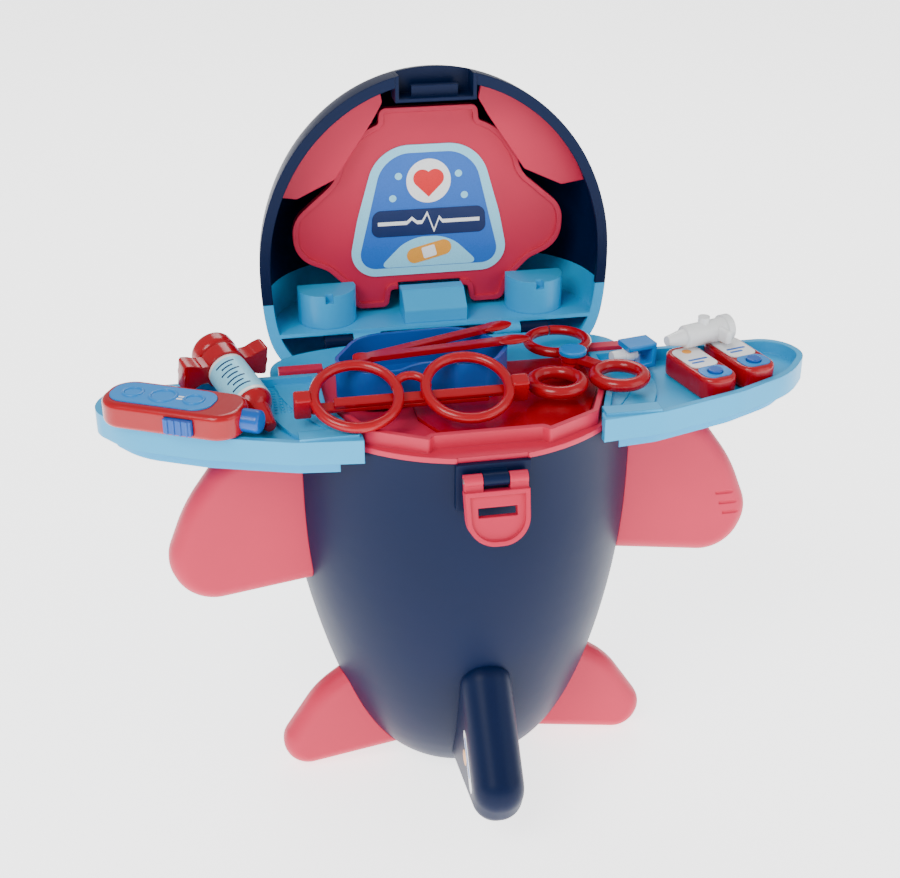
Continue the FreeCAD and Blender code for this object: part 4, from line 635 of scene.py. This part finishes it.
class CASE_OT_prints(bpy.types.Operator):
    """Prints the films on the fin, syringe, pagers and scanner, and adds the syringe's dome and grips"""
    bl_idname = "case.prints"
    bl_label = "Small prints"

    def execute(self, context):
        c = colours()
        navy = printed("Small film printed navy", c.film_navy)
        blue = printed("Small film printed blue", c.film_blue)
        cyan = printed("Small film printed pale", c.film_cyan)
        tan = printed("Small film printed tan", c.film_tan)
        white = printed("Small film printed white", c.film_white)
        self.fin(white, blue, tan)
        red = moulded("Polystyrene moulded red nozzle", c.red, 0.2, **THIN_COAT)
        self.syringe(cyan, navy, red)
        self.pagers(blue, tan)
        self.scanner(white)
        return {"FINISHED"}

    def fin(self, white, blue, tan):
        """A striped sticker and a dot on the fin's left face."""
        low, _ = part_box("tail_fin")
        face = on_face((low.x, *FIN_PLACE), FIN_LEAN, (-1, 0, 0))
        settle(stadium("fin_stripe", 34, 7), face @ turned(1, 1.5), "base", white)
        settle(stadium("fin_streak", 22, 2.8), face @ turned(3, 1.5, 0, 1), "base", blue)
        settle(disc("fin_dot", 4.4), face @ turned(3, 10), "base", tan)

    def syringe(self, cyan, navy, red):
        """The syringe's sleeve, dome, grips and scale, fitted to its barrel and collar."""
        axis = Vector(next(j["axis"] for j in frame["joints"] if j["name"] == "plunger_slide"))
        low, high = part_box("syringe_barrel")
        middle = (low + high) / 2
        spots = [v.co - middle for v in frame["nodes"]["syringe_barrel"].data.vertices]
        length = max(s.dot(axis) for s in spots) * 2 / MM
        radius = max((s - axis * s.dot(axis)).length for s in spots) / MM
        sleeve_length = length * SLEEVE_SHARE
        face = on_face(middle, SCALE_FACES, axis)
        self.sleeve(face, radius, sleeve_length, cyan)
        front = middle - axis * (length / 2 + DOME_LEAD) * MM
        self.dome(on_face(front, (1, 0, 0), -axis), radius, red)
        self.grips(axis, red)
        self.marks(face, radius, sleeve_length, navy)

    def sleeve(self, face, radius, length, cyan):
        """A film wrapped round the barrel."""
        sleeve = start("cylinder", "syringe_sleeve", vertices=72, radius=(radius + SLEEVE_GAP) * MM,
                       depth=length * MM, end_fill_type="NOTHING")
        close(sleeve)
        apply_modifier(sleeve, "SOLIDIFY", thickness=sizes().film, offset=1)
        smooth(ROUND_SHADING)
        settle(sleeve, face, "left_side_tray", cyan)

    def dome(self, place, radius, red):
        """The rounded front between the barrel and the nozzle."""
        dome = start("cylinder", "syringe_dome", vertices=64, radius=radius * DOME_SHARE * MM,
                     depth=DOME_FOOT * MM)
        taper(dome, DOME_FOOT / 2, DOME_STEPS)
        close(dome)
        smooth(ROUND_SHADING)
        settle(dome, place, "left_side_tray", red)

    def grips(self, axis, red):
        """The two finger grips, which flare out from the collar."""
        low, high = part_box("syringe_collar")
        across = Vector((axis.y, -axis.x, 0)).normalized()
        for name, sign in (("right", 1), ("left", -1)):
            grip = start("cube", f"syringe_{name}_grip", size=2 * MM)
            bpy.ops.transform.resize(value=GRIP_HALVES, center_override=(0, 0, 0))
            taper(grip, GRIP_HALVES[2], GRIP_STEPS)
            bpy.ops.mesh.bevel(offset=GRIP_ROUND * MM, segments=5)
            close(grip)
            smooth(GRIP_SHADING)
            root = (low + high) / 2 + across * sign * GRIP_REACH * MM
            settle(grip, on_face(root, axis, across * sign), "left_side_tray", red)

    def marks(self, face, radius, length, navy):
        """The scale's long and short marks by turns, in even steps along the sleeve."""
        kinds = []
        for name, angle in MARK_ANGLES:
            mark = start("cylinder", f"syringe_{name}_mark", vertices=144, radius=(radius + MARK_GAP) * MM,
                         depth=MARK_HEIGHT * MM, end_fill_type="NOTHING")
            choose(mark, lambda spot: abs(math.degrees(math.atan2(spot.y, spot.x))) > angle, "FACE")
            bpy.ops.mesh.delete(type="FACE")
            close(mark)
            apply_modifier(mark, "SOLIDIFY", thickness=sizes().film, offset=1)
            kinds.append(mark)
        step = length / (MARK_COUNT + 1)
        scale = [
            copied(kinds[number % 2], z=step * (number - MARK_COUNT // 2)) for number in range(MARK_COUNT)
        ]
        discard(*kinds)
        settle(joined("syringe_scale", scale), face, "left_side_tray", navy)

    def pagers(self, blue, tan):
        """A dot and two lines on each pager's face."""
        dot = disc("pager_dot", 2.7)
        long_line = stadium("pager_line", 12, 1.8)
        short_line = stadium("pager_short_line", 8, 1.8)
        shift(-2, -3.6)
        lines = joined("pager_lines", [long_line, short_line])
        for name in ("first", "second"):
            face = on_top(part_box(name + "_pager_face"), PAGER_TURN)
            for kind, piece, spot, ink in (
                ("dot", dot, turned(0, 8), tan), ("lines", lines, turned(0, -3), blue),
            ):
                mine = named(copied(piece), f"{name}_pager_{kind}")
                settle(mine, face @ spot, "right_side_tray", ink)
        discard(dot, lines)

    def scanner(self, white):
        """Two short bars between the rings of the scanner's face."""
        face = on_top(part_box("scanner_face"), SCANNER_TURN, RING_RISE)
        upper = stadium("scanner_bars", 4.2, 1.3)
        lower = copied(upper, 0, -2.6)
        bars = joined("scanner_bars", [upper, lower])
        settle(bars, face @ turned(9.9, 1.3), "left_side_tray", white)


class CASE_OT_stage(bpy.types.Operator):
    """Lays the floor, sets soft studio lights and the camera"""
    bl_idname = "case.stage"
    bl_label = "Studio"

    def execute(self, context):
        bpy.ops.object.select_all(action="DESELECT")
        bpy.ops.mesh.primitive_plane_add(size=sizes().floor, location=(0, 0, -FLOOR_DROP))
        floor = named(bpy.context.object, "studio_floor")
        bpy.ops.object.transform_apply(location=True, rotation=True, scale=True)
        floor.data.materials.append(studio_paper("Pale studio paper"))
        world = bpy.data.worlds.new("Studio")
        context.scene.world = world
        world.use_nodes = True
        sky = world.node_tree.nodes["Background"].inputs
        sky["Color"].default_value = (1, 1, 1, 1)
        sky["Strength"].default_value = SKY_STRENGTH
        for name, share, size, place, aim in LIGHTS:
            data = bpy.data.lights.new(name, "AREA")
            data.energy = sizes().key_power * share
            data.size = size
            light = bpy.data.objects.new(name, data)
            light.location = place
            light.rotation_euler = (Vector(aim) - Vector(place)).to_track_quat("-Z", "Y").to_euler()
            context.scene.collection.objects.link(light)
        data = bpy.data.cameras.new("Camera")
        data.lens = sizes().lens
        data.sensor_width = SENSOR_WIDTH
        data.sensor_fit = "HORIZONTAL"
        camera = bpy.data.objects.new("Camera", data)
        camera.location = CAMERA_PLACE
        camera.rotation_euler = [math.radians(angle) for angle in CAMERA_TURN]
        context.scene.collection.objects.link(camera)
        context.scene.camera = camera
        return {"FINISHED"}


OPERATORS = (
    CASE_OT_shell, CASE_OT_trays, CASE_OT_instruments, CASE_OT_label, CASE_OT_prints, CASE_OT_stage,
)


class CASE_PT_panel(bpy.types.Panel):
    """Lists the steps that dress the case"""
    bl_idname = "CASE_PT_panel"
    bl_label = "Doctor Case"
    bl_space_type = "VIEW_3D"
    bl_region_type = "UI"
    bl_category = "Doctor Case"

    def draw(self, context):
        for step in OPERATORS:
            self.layout.operator(step.bl_idname)


CLASSES = (CaseColours, CaseSizes) + OPERATORS + (CASE_PT_panel,)


def register():
    for item in CLASSES:
        bpy.utils.register_class(item)
    bpy.types.Scene.case_colours = PointerProperty(type=CaseColours)
    bpy.types.Scene.case_sizes = PointerProperty(type=CaseSizes)


def unregister():
    del bpy.types.Scene.case_sizes
    del bpy.types.Scene.case_colours
    for item in reversed(CLASSES):
        bpy.utils.unregister_class(item)


def main():
    register()
    for step in OPERATORS:
        group, name = step.bl_idname.split(".")
        getattr(getattr(bpy.ops, group), name)()


if __name__ == "__main__":
    main()
